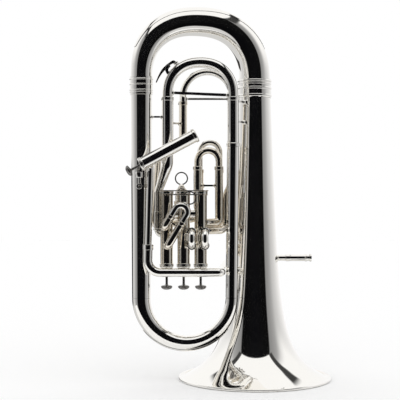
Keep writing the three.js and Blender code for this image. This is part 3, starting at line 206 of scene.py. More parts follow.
def arch(start, end, foot, rise, power, steps=110):
    """Two upright legs and an arch: reach = (|cos|^p + |half sin / rise|^p)^(-1/p) x half the width."""
    start, end = np.asarray(start, float), np.asarray(end, float)
    across = (end - start) * (X + Y) / 2
    half = float(np.linalg.norm(across))
    middle = (start + end) / 2 * (X + Y) + Z * foot
    angle = np.linspace(0, math.pi, steps)
    reach = (np.abs(np.cos(angle))**power + (np.sin(angle) * half / rise)**power) ** (-1 / power)
    curve = middle - across * (reach * np.cos(angle))[:, None] + Z * (half * reach * np.sin(angle))[:, None]
    points = np.concatenate([start[None], curve, end[None]])
    keep = np.r_[True, np.linalg.norm(np.diff(points, axis=0), axis=1) > 0.05]
    points = points[keep]
    away = np.r_[0, np.cumsum(np.linalg.norm(np.diff(points, axis=0), axis=1))]
    ahead = unit(np.gradient(points, away, axis=0))
    return {"points": points, "ahead": ahead, "away": away, "length": float(away[-1])}


def stations(line, away):
    """Places on the route at the given distances, by straight interpolation."""
    points = np.stack([np.interp(away, line["away"], line["points"][:, i]) for i in range(3)], 1)
    ahead = unit(np.stack([np.interp(away, line["away"], line["ahead"][:, i]) for i in range(3)], 1))
    return points, ahead


def carried(ahead, side):
    """A crosswise direction for each place: the last one, less its part along the route."""
    across = np.empty_like(ahead)
    now = side
    for i, one in enumerate(ahead):
        now = unit(now - one * (now @ one))
        across[i] = now
    return across


def wall(line, rows, sides, side):
    """Circles round the route, with the radius taken from rows of distance and radius."""
    rows = np.array(rows, float)
    away = np.unique(np.concatenate([line["away"], np.clip(rows[:, 0], 0, line["length"])]))
    points, ahead = stations(line, away)
    radius = np.interp(away, rows[:, 0], rows[:, 1])
    across = carried(ahead, side)
    upward = np.cross(ahead, across)
    angle = np.linspace(0, 2 * np.pi, sides, endpoint=False)[None, :, None]
    ring = across[:, None] * np.cos(angle) + upward[:, None] * np.sin(angle)
    return points[:, None] + radius[:, None, None] * ring


def tube(line, outer, inner, sides=48, side=None):
    """A hollow tube: outer rings onward, inner rings back, one closed skin."""
    if side is None:
        side = Z if abs(line["ahead"][0] @ Z) < 0.7 else X
    outer = [(0, outer)] if np.isscalar(outer) else outer
    inner = [(0, inner)] if np.isscalar(inner) else inner
    return skin(np.concatenate([wall(line, outer, sides, side), wall(line, inner, sides, side)[::-1]]))


print("a quarter bend has", len(route([at(0, 0, 0), at(0, 0, 9), at(9, 0, 9)], 5)["away"]), "places")

# %% [markdown]
# ## Turned pieces
# Caps, buttons, ferrules and the flanges of the braces are turned on a lathe: a profile of radius
# and height goes once round its own axis.

# %% Profiles to turned pieces
def turned(profile, place=(0, 0, 0), axis=Z, sides=64, ring=False):
    """Radius r and height h at angle a: place + h x axis + r x (cos a, sin a) crosswise."""
    profile = np.array(profile, float)
    axis = unit(np.asarray(axis, float))
    across = unit(np.cross(Y if abs(axis[1]) < 0.9 else X, axis))
    upward = np.cross(axis, across)
    angle = np.linspace(0, 2 * np.pi, sides, endpoint=False)[None, :, None]
    circle = across * np.cos(angle) + upward * np.sin(angle)
    rings = profile[:, 0, None, None] * circle + profile[:, 1, None, None] * axis + np.asarray(place, float)
    return skin(rings, loop=ring)


def rounded(corners, size, steps=4):
    """A profile with each inner corner cut by a quarter-like curve of the given size."""
    corners = np.array(corners, float)
    out = [corners[0]]
    for a, b, c in zip(corners[:-2], corners[1:-1], corners[2:]):
        reach = min(size, 0.45 * np.linalg.norm(b - a), 0.45 * np.linalg.norm(c - b))
        p, q = b + unit(a - b) * reach, b + unit(c - b) * reach
        t = np.linspace(0, 1, steps + 1)[:, None]
        out.extend((1 - t) ** 2 * p + 2 * t * (1 - t) * b + t**2 * q)
    out.append(corners[-1])
    return np.array(out)


def collar(start, end, radius, rise, soft=0.5):
    """Rows of distance and radius for a raised band with soft edges."""
    return [
        (start, radius), (start + 0.15, radius + 0.7 * rise), (start + soft, radius + rise),
        (end - soft, radius + rise), (end - 0.15, radius + 0.7 * rise), (end, radius),
    ]


def brace(start, end, start_radius, end_radius, rod=1.7, foot=4.6, power=16):
    """A square bar, radius / (cos^p + sin^p)^(1/p), with two round flanges soldered to the tubes."""
    start, end = np.asarray(start, float), np.asarray(end, float)
    length = float(np.linalg.norm(end - start))
    a, b = start_radius - 1.5, length - end_radius + 1.5
    profile = rounded([
        (0, a), (foot, a), (foot, a + 2.4), (0.55 * foot, a + 3.3), (rod, a + 5), (rod, b - 5),
        (0.55 * foot, b - 3.3), (foot, b - 2.4), (foot, b), (0, b),
    ], 0.5, 2)
    points, quads = turned(profile, (0, 0, 0), Z, 48)
    angle = np.arctan2(points[:, 1], points[:, 0])
    square = (np.cos(angle)**power + np.sin(angle)**power) ** (-1 / power)
    points[:, :2] *= np.where(np.hypot(points[:, 0], points[:, 1]) < rod * 1.02, square, 1)[:, None]
    axis = unit(end - start)
    across = unit(np.cross(Y if abs(axis[1]) < 0.9 else X, axis))
    place = start + points[:, :1] * across + points[:, 1:2] * np.cross(axis, across) + points[:, 2:] * axis
    return place, quads


print("collar rows:", len(collar(0, 7, 5, 1)))

# %% [markdown]
# ## Bell
# The bell is spun from sheet: a slow taper that opens into a wide flare, with its edge rolled round
# a wire. Its outline is a smooth curve through measured radii, and the wall follows at one thickness.

# %% Bell and garland
bell_table = np.array([
    (0.0, 145.0), (4.0, 135.2), (9.0, 125.4), (15.5, 114.6), (24.0, 103.2), (35.0, 91.2), (50.0, 79.9),
    (70.0, 69.9), (95.0, 61.3), (130.0, 53.9), (180.0, 47.6), (245.0, 42.8), (330.0, 38.5), (435.0, 34.3),
    (552.0, 30.02),
])


def smooth_curve(table, steps):
    """Catmull-Rom: each stretch leaves and meets its points along the line of their neighbours."""
    t = np.linspace(0, len(table) - 1, steps)
    i = np.minimum(t.astype(int), len(table) - 2)
    w = (t - i)[:, None]
    p0 = table[np.maximum(i - 1, 0)]
    p1, p2 = table[i], table[i + 1]
    p3 = table[np.minimum(i + 2, len(table) - 1)]
    m1, m2 = (p2 - p0) / 2, (p3 - p1) / 2
    return (2 * w**3 - 3 * w**2 + 1) * p1 + (w**3 - 2 * w**2 + w) * m1 \
        + (3 * w**2 - 2 * w**3) * p2 + (w**3 - w**2) * m2


def evened(curve, rounds):
    """Each inner point moves half-way to the middle of its neighbours, again and again."""
    curve = curve.copy()
    for _ in range(rounds):
        curve[1:-1] = (curve[:-2] + 2 * curve[1:-1] + curve[2:]) / 4
    return curve


bell_curve = evened(smooth_curve(bell_table, 240), 60)


def bell_radius(height):
    """Outer radius of the bell at a height, read off its curve."""
    return float(np.interp(height, bell_curve[:, 0], bell_curve[:, 1]))


sheet, lowest_row, bell_top = 0.8, 3.2, 552
outline = bell_curve[bell_curve[:, 0] > lowest_row]
slope = unit(np.gradient(outline, axis=0))
inside = outline - sheet * np.stack([-slope[:, 1], slope[:, 0]], 1)
inside[:, 0] = np.clip(inside[:, 0], lowest_row, bell_top)
turn = np.linspace(math.radians(150), math.radians(-165), 26)
wire, wire_reach, floor_gap = 2.4, 142.6, 0.02
bead = np.stack([wire_reach + wire * np.cos(turn), wire + wire * np.sin(turn)], 1)
bead = bead[bead[:, 1] > floor_gap]
bell_profile = np.concatenate([outline[::-1][:, ::-1], bead, inside[:, ::-1]])
bell = add_piece("bell_shell", [turned(bell_profile, sides=160, ring=True)], "body", ["bell"])

low_z, high_z = 534.0, 570.0
wide, narrow = bell_radius(low_z) + 0.5, 30.2
garland_wall = 1.3


def garland_radius(z):
    """Straight taper of the ferrule between the bell's and the bow's radius, with its wall."""
    return wide + (narrow - wide) * (z - low_z) / (high_z - low_z) + garland_wall


def beads(places, radius_at):
    """Half-round rings on a ferrule: radius + rise x square root of (1 - share squared)."""
    rows = []
    for z, rise, half in places:
        for share in np.linspace(-1, 1, 9):
            rows.append((radius_at(z) + rise * math.sqrt(1 - share**2), z + half * share))
    return rows


garland_edge = 0.4
garland_beads = [(538.0, 1.0, 2.4), (552.0, 1.1, 2.4), (560.5, 0.8, 1.6), (565.5, 1.5, 2.4)]
garland_rows = [(wide, low_z), (garland_radius(low_z) + garland_edge, low_z + garland_edge)]
garland_rows += beads(garland_beads, garland_radius)
garland_rows += [(narrow + garland_wall, high_z - garland_edge), (narrow, high_z)]
add_piece("bell_garland_ferrule", [turned(garland_rows, sides=128, ring=True)], "body", ["bell_garland"])
print("bell points:", len(bell.data.vertices), "garland rows:", len(garland_rows))

# %% [markdown]
# ## Large bow and left branch
# The large bow turns the air way over the top. Its tube grows from the left branch to the bell, and
# its plane is turned, because the branch stands nearer to the viewer than the bell does.

# %% Bows, branch and ferrules
branch_x, front_y = -212.5, -57
branch = at(branch_x, front_y, 0)
bow_foot, bow_rise, bow_power = 568.5, 106.0, 2.3
bow_line = arch(at(0, 0, 552.3), branch + Z * 551.5, bow_foot, bow_rise, bow_power)
bow_length = bow_line["length"]
bow_taper = [(0, 29.6), (0.1, 29.3), (0.25, 28.5), (0.4, 27.5), (0.5, 26.7), (0.6, 25.7), (0.72, 24.1),
             (0.84, 21.9), (0.92, 20.2), (1, 20.0)]
bow_rows = [(share * bow_length, radius) for share, radius in bow_taper]
bow_inner = [(along, radius - sheet) for along, radius in bow_rows]
add_piece("large_bow_tube", [tube(bow_line, bow_rows, bow_inner, 112, unit(branch))], "body", ["large_bow"])


def hugging(line, rows, start, end, spread, tip, normal, thick=0.9, across=25):
    """A plate on the outer side: angle = spread x share across, radius = tube + gap + thickness."""
    away = np.linspace(start, end, 90)
    points, ahead = stations(line, away)
    radius = np.interp(away, *np.array(rows, float).T)
    swell = tip + (1 - tip) * np.sin(np.pi * np.linspace(0, 1, len(away))) ** 0.6
    angle = spread * swell[:, None] * np.linspace(-1, 1, across)[None, :]
    outward = unit(np.cross(normal, ahead))
    beside = np.cross(ahead, outward)
    fall = 1 - np.abs(np.linspace(-1, 1, across)) ** 8
    gap, edge_share = 0.3, 0.25

    def shell(height):
        """The plate's face at a height: the full height in the middle, a quarter at the edges."""
        lift = height * (edge_share + (1 - edge_share) * fall[None, :])
        reach = (radius[:, None] + gap + lift)[..., None]
        return points[:, None] + reach * (outward[:, None] * np.cos(angle)[..., None]
                                          + beside[:, None] * np.sin(angle)[..., None])

    rings = np.concatenate([shell(thick), shell(0.0)[:, ::-1]], axis=1)
    tips = [(ring + ring[::-1]) / 2 for ring in (rings[0], rings[-1])]
    return skin(np.concatenate([tips[0][None], rings, tips[1][None]]), loop=False)


bow_normal = unit(np.cross(unit(branch), Z))
plate_tip = 0.35
bow_plate = hugging(bow_line, bow_rows, 0.17 * bow_length, 0.83 * bow_length, math.pi * 0.27,
                    plate_tip, bow_normal)
add_piece("large_bow_plate", [bow_plate], "body", ["large_bow_guard"])

ferrule_inner, ferrule_edge, ferrule_outer = 20.35, 21.5, 21.6
ferrule_beads = [(539.5, 0.5, 0.9), (543.2, 0.7, 1.1), (553.6, 0.7, 1.1), (563.3, 1.0, 1.5)]
ferrule_rows = [(ferrule_inner, 534.5), (ferrule_edge, 534.9)]
ferrule_rows += beads(ferrule_beads, lambda z: ferrule_outer)
ferrule_rows += [(ferrule_edge, 568.1), (ferrule_inner, bow_foot)]
add_piece("branch_ferrule_ring", [turned(ferrule_rows, branch, sides=96, ring=True)], "body",
          ["branch_ferrule"])

branch_line = route([branch + Z * 551.2, branch + Z * 158.8])
branch_length = 392.4
branch_outer = [(0, 20.2), (branch_length, 17.3)]
branch_inner = [(0, 19.2), (branch_length, 15.8)]
add_piece("left_branch_tube", [tube(branch_line, branch_outer, branch_inner, 96)], "body",
          ["left_branch"])

first_x, small_foot = -45.5, 158.5
half = (first_x - branch_x) / 2
small_corners = [at(branch_x, front_y, small_foot), at(branch_x, front_y, small_foot - half),
                 at(first_x, front_y, small_foot - half), at(first_x, front_y, small_foot)]
small_line = route(small_corners, half, 0.035)
end = small_line["length"]
small_rows = [(0, 17.32), (12, 17.2), (end / 2, 14.2), (end - 12, 11.2), (end, 11.04)]
small_inner = [(0, 15.0), (end / 2, 12.8), (end, 10.2)]
add_piece("small_bow_tube", [tube(small_line, small_rows, small_inner, 96)], "body", ["small_bow"])
small_plate = hugging(small_line, small_rows, 0.2 * end, 0.8 * end, math.pi * 0.2, plate_tip, Y)
add_piece("small_bow_plate", [small_plate], "body", ["small_bow_guard"])

right_x = -43
first_line = route([at(first_x, front_y, 159.1), at(right_x, front_y, 438.4)])
add_piece("first_branch_tube", [tube(first_line, 11.0, 10.2, 72)], "body", ["first_branch"])
print("large bow is", round(bow_length), "mm long, small bow", round(end))

# %% [markdown]
# ## Sleeves and slides
# A tuning slide is a bright inner crook that runs in two outer sleeves. Each sleeve ends in a short
# ferrule, the step that the eye reads as the joint.

# %% Main tuning slide
running_gap = 0.3


def sleeve_rows(length, leg, insert, start, ferrule=7.0):
    """Outer and inner rows from the valve end to the mouth, with the ferrule at the mouth."""
    inner = leg + running_gap
    outer = inner + sheet
    full = max(length - insert - ferrule, 1)
    step = length - ferrule
    outer_rows = [(0, start), (full, outer), (step, outer), (step + 0.3, outer + 0.7),
                  (step + 0.8, outer + 1), (length - 0.6, outer + 1), (length, outer + 0.5)]
    return outer_rows, [(0, start - sheet), (full, inner), (length, inner)]


def crook_line(left, right, direction, reach):
    """Two legs along a direction joined by half a circle."""
    tip = left + direction * reach
    over = right - left
    over = over - direction * (over @ direction)
    return route([left, tip, tip + over, right], float(np.linalg.norm(over)) / 2, 0.05)


main_leg, main_sleeve, main_insert, mouth_z = 9.8, 10.9, 70, 531
right_line = route([at(right_x, front_y, 439), at(right_x, front_y, mouth_z)])
outer_rows, inner_rows = sleeve_rows(92, main_leg, main_insert, 11.4)
outer_rows = [(0, 11.9), (6, 11.9), (6.6, 11.2), (7, main_sleeve)] + outer_rows[2:]
right_parts = [tube(right_line, outer_rows, inner_rows, 72)]
for height in (524, 486):
    right_parts.append(brace(at(right_x, front_y, height), at(0, 0, height), main_sleeve,
                             bell_radius(height)))
add_piece("main_sleeve_right_tube", right_parts, "body", ["main_sleeve_right"])

valve_xs = (-165.7, -134.2, -102.7)
valve_1, valve_2, valve_3 = [at(x, front_y, 0) for x in valve_xs]
port_reach = 10.8


def into(valve, towards, height):
    """A start just inside a casing's wall, on the line from its axis to the next corner."""
    start = valve + Z * height
    return start + unit(np.asarray(towards, float) - start) * port_reach


left_x = -164.2
left_corners = [at(-182, -42, 277), at(-182, -42, 355), at(left_x, front_y, 405),
                at(left_x, front_y, mouth_z)]
left_line = route([into(valve_1, left_corners[0], 277)] + left_corners, [7.6, 20.4, 20.4])
total = left_line["length"]
outer_rows, inner_rows = sleeve_rows(total, main_leg, main_insert, 6.8)
widens, widened = total - 185, total - 120
outer_rows[0:2] = [(0, 6.8), (14.3, 6.8), (14.7, 8.4), (15.2, 8.8), (17.8, 8.8), (18.3, 8.2), (49, 8.2),
                   (49.6, 7.2), (widens, 7.2), (widened, main_sleeve)]
inner_rows[0:2] = [(0, 6.0), (widens, 6.0), (widened, 10.1)]
side_brace = 494
branch_at_brace = 20.0 - 3.4 * (bow_foot - side_brace) / 410
left_parts = [tube(left_line, outer_rows, inner_rows, 72),
              brace(at(left_x, front_y, side_brace), branch + Z * side_brace, main_sleeve,
                    branch_at_brace)]
add_piece("main_sleeve_left_tube", left_parts, "body", ["main_sleeve_left"])

crook_foot, crook_half, crook_rise, crook_power = 535.4, 60.6, 59.6, 2.2
crook = arch(at(left_x, front_y, 461), at(right_x, front_y, 461), crook_foot, crook_rise, crook_power)
crook_centre = at(-103.6, front_y, crook_foot)


def beside_crook(degrees, reach):
    """A place beyond the outer side of the main crook, at an angle from +X."""
    a = math.radians(degrees)
    upward = math.sin(a) * crook_half / crook_rise
    bend = crook_half * (abs(math.cos(a))**crook_power + upward**crook_power) ** (-1 / crook_power)
    return crook_centre + (bend + main_leg + reach) * at(math.cos(a), 0, math.sin(a))


def strip(points, half_wide, half_thick, wide_axis, steps=60, sides=24, flatness=0.3):
    """A flat-faced bar on a curve: cos^flatness x half width and sin^flatness x half thickness."""
    line = smooth_curve(np.array(points), steps)
    ahead = unit(np.gradient(line, axis=0))
    thick_axis = np.cross(ahead, wide_axis)
    angle = np.linspace(0, 2 * np.pi, sides, endpoint=False)[None, :, None]
    wave = np.stack([np.cos(angle), np.sin(angle)])
    flat = np.sign(wave) * np.abs(wave) ** flatness
    share = np.linspace(0, 1, steps)
    thick = np.interp(share, np.linspace(0, 1, len(half_thick)), half_thick)[:, None, None]
    end_shrink = np.sqrt(np.clip(1 - (2 * share - 1) ** 20, 0.05, 1))[:, None, None]
    rings = line[:, None] + end_shrink * (half_wide * flat[0] * wide_axis
                                          + thick * flat[1] * thick_axis[:, None])
    tips = [np.repeat(line[i][None], sides, 0)[None] for i in (0, -1)]
    return skin(np.concatenate([tips[0], rings, tips[1]]), loop=False)


slide_parts = [tube(crook, main_leg, 9.1, 80),
               brace(at(left_x, front_y, 539), at(right_x, front_y, 534), main_leg, main_leg, 2.6, 5.6)]
post_path = [beside_crook(146, -2.5), beside_crook(145.5, 2.0), beside_crook(142.5, 6.0),
             beside_crook(137, 7.4)]
for offset in (-4.3, 4.3):
    slide_parts.append(strip([place + Y * offset for place in post_path], 0.9, (3.6, 2.8, 3.0, 2.6), Y))
add_piece("main_slide_crook", slide_parts, "main_slide", ["main_tuning_slide"])
print("main slide legs:", round(crook["length"]), "mm of tube")

# %% [markdown]
# ## Water key
# A small lever that rocks on a pivot barrel between two posts and presses a cork pad over a hole in
# the crook. The lever is a bent strip with flat faces, carried along a short curve.

# %% Lever, barrel and pad cup
pad, pivot = beside_crook(127.5, 0.3), beside_crook(138, 6.2)
cup = rounded([(0, 0), (4.2, 0), (4.9, 0.6), (4.9, 2.8), (3.6, 3.9), (0, 4.2)], 0.5)
lever_places = [(-185.5, 556.7), (-181.6, 565.5), (-177.2, 573.6), (-172.4, 580.4), (-166.8, 586.2),
                (-160.4, 592.0), (-153.2, 595.8), (-149.2, 592.6)]
lever_path = [at(x, front_y, z) for x, z in lever_places]
arm_top = lever_path[3]
key_parts = [
    turned(cup, pad, pad - crook_centre, 40),
    turned(rounded([(0, -3.3), (2.9, -3.3), (2.9, 3.3), (0, 3.3)], 0.3), pivot, Y, 32),
    strip(lever_path, 2.9, (1.2, 1.6, 2.2, 2.9, 3.0, 2.5, 3.2, 3.4), Y),
    strip([pivot, (pivot + arm_top) / 2 + Z * 1.5, arm_top], 2.6, (2.4, 2.0, 2.2), Y, 24),
]
add_piece("water_key_lever", key_parts, "key", ["water_key"])
print("water key pivot at", np.round(pivot, 1))

# %% [markdown]
# ## Slides of the third and fourth valves
# These rise beside the casings. Each leg leaves its valve through a short bend.

# %% Third slide, its compensating slide and the fourth slide
def leg(valve, x, y, port, top, bend, leg_radius, insert, start):
    """One valve tube: out of the casing, round a bend, up to its sleeve's mouth."""
    foot = at(x, y, port)
    line = route([into(valve, foot, port), foot, at(x, y, top)], bend)
    outer_rows, inner_rows = sleeve_rows(line["length"], leg_radius, insert, start)
    return tube(line, outer_rows, inner_rows, 48)


third_left, third_right, third_y, third_leg = -108.7, -68.4, -34.5, 6.4
brace_z = 367
third_parts = [leg(valve_3, third_left, third_y, 323, 403, 7.8, third_leg, 60, 7.0),
               leg(valve_3, third_right, third_y, 298.5, 403, 7.8, third_leg, 60, 7.0),
               brace(at(third_left, third_y, brace_z), at(third_right, third_y, brace_z), 7.5, 7.5)]
add_piece("third_slide_sleeve_pair", third_parts, "body", ["third_slide_sleeves"], tarnish_and_painted_bounce_silver)
third_crook = crook_line(at(third_left, third_y, 343), at(third_right, third_y, 343), Z, 89.8)
add_piece("third_slide_crook", [tube(third_crook, third_leg, 5.7, 56)], "slide_third",
          ["third_valve_slide"], tarnish_and_painted_bounce_silver)

rear_left, rear_right, rear_y, rear_leg = -104, -66.5, -8, 5.7
riser = at(-97, -31, 262)
rear_corners = [riser, at(-97, -31, 291), at(rear_right, rear_y, 291), at(rear_right, rear_y, 398)]
rear_line = route([into(valve_3, riser, 262)] + rear_corners, 7)
outer_rows, inner_rows = sleeve_rows(rear_line["length"], rear_leg, 60, 6.2)
rear_parts = [leg(valve_3, rear_left, rear_y, 243, 398, 7, rear_leg, 60, 6.2),
              tube(rear_line, outer_rows, inner_rows, 48),
              brace(at(rear_left, rear_y, brace_z), at(rear_right, rear_y, brace_z), 6.8, 6.8)]
add_piece("third_compensating_sleeve_pair", rear_parts, "body", ["third_compensating_sleeves"],
          tarnish_and_painted_bounce_silver)
rear_crook = crook_line(at(rear_left, rear_y, 338), at(rear_right, rear_y, 338), Z, 111)
add_piece("third_compensating_crook", [tube(rear_crook, rear_leg, 5.0, 56)],
          "slide_third_compensating", ["third_compensating_slide"])

rise = math.radians(28.2)
fourth_axis = at(math.cos(rise), 0, math.sin(rise))
fourth_foot = at(-213.2, -97, 403.5)


def on_fourth(along):
    """A point on the slanted valve's axis, this far from the end of its top cap."""
    return fourth_foot + fourth_axis * along


fourth_left, fourth_right, fourth_y, fourth_leg, fourth_mouth = -136, -44, -29, 6.8, 525
start = on_fourth(88)
corner = at(fourth_left, fourth_y, start[2])
fourth_line = route([start + unit(corner - start) * port_reach, corner,
                     at(fourth_left, fourth_y, fourth_mouth)], 14)
outer_rows, inner_rows = sleeve_rows(fourth_line["length"], fourth_leg, 48, 7.0)
fourth_parts = [tube(fourth_line, outer_rows, inner_rows, 56),
                brace(at(fourth_left, fourth_y, 483), at(left_x, front_y, 483), 7.9, main_sleeve)]
add_piece("fourth_sleeve_left_tube", fourth_parts, "body", ["fourth_sleeve_left"], tarnish_and_painted_bounce_silver)
return_corners = [at(-55.5, -23, 283), at(-55.5, -23, 345), at(fourth_right, fourth_y, 372),
                  at(fourth_right, fourth_y, fourth_mouth)]
return_line = route([into(valve_3, return_corners[0], 283)] + return_corners, 14)
outer_rows, inner_rows = sleeve_rows(return_line["length"], fourth_leg, 48, 7.0)
add_piece("fourth_return_run", [tube(return_line, outer_rows, inner_rows, 56)], "body",
          ["fourth_return_tube"], tarnish_and_painted_bounce_silver)
leg_foot, crown_reach = 477, 104
fourth_crook = crook_line(at(fourth_left, fourth_y, leg_foot), at(fourth_right, fourth_y, leg_foot),
                          Z, crown_reach)
fourth_brace = brace(at(fourth_left, fourth_y, 529.8), at(fourth_right, fourth_y, 529.8), fourth_leg,
                     fourth_leg, 2.0)
add_piece("fourth_slide_crook", [tube(fourth_crook, fourth_leg, 6.1, 56), fourth_brace],
          "slide_fourth", ["fourth_valve_slide"])
print("fourth slide top at", leg_foot + crown_reach + fourth_leg, "mm")

# %% [markdown]
# ## Slides of the first and second valves
# Two of these carry a pull ring on the crown of the crook. The first valve's slide lies aslant in
# front of the casings; two short slides point straight at the viewer.

# %% Aslant slide, rising slide and the two front slides
ring_radius, ring_wire, squareness = 11.4, 1.25, 0.12


def pull_ring(crown, direction, tube_radius, stand=0.0):
    """A ring of square wire, by cos^squareness and sin^squareness, on a small domed foot."""
    centre = crown + direction * (tube_radius + ring_radius + 1.0 + stand)
    angle = np.linspace(0, 2 * np.pi, 72, endpoint=False)[:, None]
    hoop = centre + ring_radius * (np.cos(angle) * direction + np.sin(angle) * np.cross(direction, Y))
    around = np.linspace(0, 2 * np.pi, 20, endpoint=False)[None, :, None]
    outward = unit(hoop - centre)
    wave = np.array([np.cos(around), np.sin(around)])
    flat = np.sign(wave) * np.abs(wave) ** squareness
    ring = skin(hoop[:, None] + ring_wire * (flat[0] * outward[:, None] + flat[1] * Y))
    foot = rounded([(0, -1.5), (6.4, -1.5), (6.2, 0.3), (4.6, 1.5 + stand * 0.5), (1.9, 2.2 + stand),
                    (0, 2.6 + stand)], 0.7)
    return [ring, turned(foot, crown + direction * tube_radius, direction, 32)]


tilt = math.radians(58.5)
first_along = at(math.cos(tilt), 0, math.sin(tilt))
first_across = at(math.sin(tilt), 0, -math.cos(tilt))
bend_centre = at(-138.8, -84, 318)
loop_half, first_leg = 11.9, 6.2
upper, lower = bend_centre - first_across * loop_half, bend_centre + first_across * loop_half
first_parts = []
for place, reach in ((upper, 40), (lower, 66)):
    foot, mouth = place - first_along * reach, place - first_along * 14
    line = route([into(valve_1, foot, foot[2]), foot, mouth], 7.0)
    outer_rows, inner_rows = sleeve_rows(line["length"], first_leg, 15, 7.0)
    first_parts.append(tube(line, outer_rows, inner_rows, 48))
middle = upper - first_along * (14 + 7 + 4.6)
first_parts.append(brace(middle, middle + first_across * 23.8, 7.3, 7.3, 1.7, 2.6))
add_piece("first_slide_sleeve_pair", first_parts, "body", ["first_slide_sleeves"], tarnish_and_painted_bounce_silver)
first_crook = crook_line(upper - first_along * 29, lower - first_along * 29, first_along, 40.9)
first_ring = pull_ring(bend_centre + first_along * loop_half, first_along, first_leg)
add_piece("first_slide_crook", [tube(first_crook, first_leg, 5.5, 56)] + first_ring, "slide_first",
          ["first_valve_slide"])

rising_left, rising_right, rising_y, rising_leg, rod = -146.2, -132.4, -7, 5.2, 1.7
rising_parts = [leg(valve_2, rising_left, rising_y, 272, 338, 6.2, rising_leg, 40, 6.3),
                leg(valve_2, rising_right, rising_y, 254, 338, 6.2, rising_leg, 40, 6.3),
                turned([(0, 0), (rod, 0), (rod, 13.8), (0, 13.8)], at(rising_left, rising_y, 305), X, 16)]
add_piece("first_compensating_sleeve_pair", rising_parts, "body", ["first_compensating_sleeves"],
          tarnish_and_painted_bounce_silver)
rising_crook = crook_line(at(rising_left, rising_y, 298), at(rising_right, rising_y, 298), Z, 62.5)
rising_ring = pull_ring(at(-139.3, rising_y, 360.5), Z, rising_leg, 2.6)
add_piece("first_compensating_crook", [tube(rising_crook, rising_leg, 4.5, 56)] + rising_ring,
          "slide_first_compensating", ["first_compensating_slide"])

front_leg, low_leg, high_leg = 6.3, 257.5, 281.9
for name, x, valve, body, sleeve_node, slide_node in (
    ("second_slide", -119.0, valve_2, "slide_second", "second_slide_sleeves", "second_valve_slide"),
    ("second_compensating", -95.0, valve_3, "slide_second_compensating",
     "second_compensating_sleeves", "second_compensating_slide"),
):
    parts = []
    depth = front_y - 11.6 - 7.4 + 2
    for z in (269.7 - 12.2, 269.7 + 12.2):
        corner = at(x, depth, z)
        line = route([into(valve, corner, z), corner, at(x, -94, z)], 6.0)
        outer_rows, inner_rows = sleeve_rows(line["length"], front_leg, 3.5, 7.4)
        parts.append(tube(line, outer_rows, inner_rows, 48))
    parts.append(turned([(0, 0), (rod, 0), (rod, 24.4), (0, 24.4)], at(x, -87, low_leg), Z, 16))
    add_piece(name + "_sleeve_pair", parts, "body", [sleeve_node])
    front = crook_line(at(x, -80, low_leg), at(x, -80, high_leg), -Y, 27.7)
    add_piece(name + "_crook", [tube(front, front_leg, 5.6, 56)], body, [slide_node])
print("pull ring wire is", 2 * ring_wire, "mm thick")

# %% [markdown]
# ## Air way
# The leadpipe starts at the mouthpiece receiver, goes round the back of the bell, runs in front of
# the valve stems and climbs to the fourth valve. A feed tube behind the casings carries the air on.

# %% Leadpipe, receiver, feed tube, knuckles and plate
end_point = on_fourth(20)
lead_corners = [at(-195, -82, end_point[2] - 11.6), at(-200, -82, 207.5), at(-65, -82, 207.5),
                at(-63, -20, 208.5), at(-55, 34, 217), at(0, 68, 226), at(48, 34, 227.5), at(61.7, 34, 227.5)]
lead_bends = [7.6, 22.8, 9.0, 20, 22.8, 30.4, 15.2]
lead_start = end_point + unit(lead_corners[0] - end_point) * port_reach
lead_line = route([lead_start] + lead_corners, lead_bends, 0.06)
length = lead_line["length"]
mark = 150.0
lead_rows = [(0, 6.2), (mark, 6.2)] + collar(mark + 0.01, mark + 10, 8.3, 1.3)
lead_rows += [(mark + 10.2, 8.3), (length - 260, 8.0), (length - 180, 6.6), (length, 5.9)]
add_piece("leadpipe_run", [tube(lead_line, lead_rows, [(0, 5.4), (length, 5.1)], 56)], "body", ["leadpipe"])

receiver_rows = rounded([
    (5.1, 0), (7.0, 0), (7.0, 8), (6.4, 9.5), (6.4, 14), (6.5, 37.4), (7.6, 38.2), (7.6, 40.4), (6.5, 41.2),
    (6.5, 45.4), (7.7, 47.6), (7.7, 50), (6.3, 50), (5.2, 47), (5.1, 12), (5.1, 0),
], 0.35, 3)[:-1]
add_piece("receiver_socket_tube", [turned(receiver_rows, at(62, 34, 227.5), X, 72, ring=True)], "body",
          ["mouthpiece_receiver"])

begin = on_fourth(34.5)
feed_corners = [at(begin[0], -24, begin[2]), at(-193, -24, 286), at(-102.7, -24, 308), at(-102.7, -47, 308)]
feed_line = route([begin + Y * port_reach] + feed_corners, [13.2, 13.2, 7.4])
add_piece("feed_run", [tube(feed_line, 6.6, 5.8, 48)], "body", ["valve_feed_tube"], tarnish_and_painted_bounce_silver)
knuckle_z, knuckle_reach = 315, 10.6
for name, one, two in (("12", valve_1, valve_2), ("23", valve_2, valve_3)):
    line = route([one + Z * knuckle_z + X * knuckle_reach, two + Z * knuckle_z - X * knuckle_reach])
    add_piece("knuckle_" + name, [tube(line, 7.0, 6.2, 40)], "body", ["valve_knuckle_" + name])


def stadium(radius, z):
    """A ring round the three casings: two half circles joined by straight sides."""
    angle = np.linspace(-np.pi / 2, np.pi / 2, 40)
    across, along, heights = radius * np.cos(angle), radius * np.sin(angle), np.full(40, z)
    right_half = np.stack([valve_xs[2] + across, front_y + along, heights], 1)
    left_half = np.stack([valve_xs[0] - across, front_y - along, heights], 1)
    return np.concatenate([right_half, left_half])


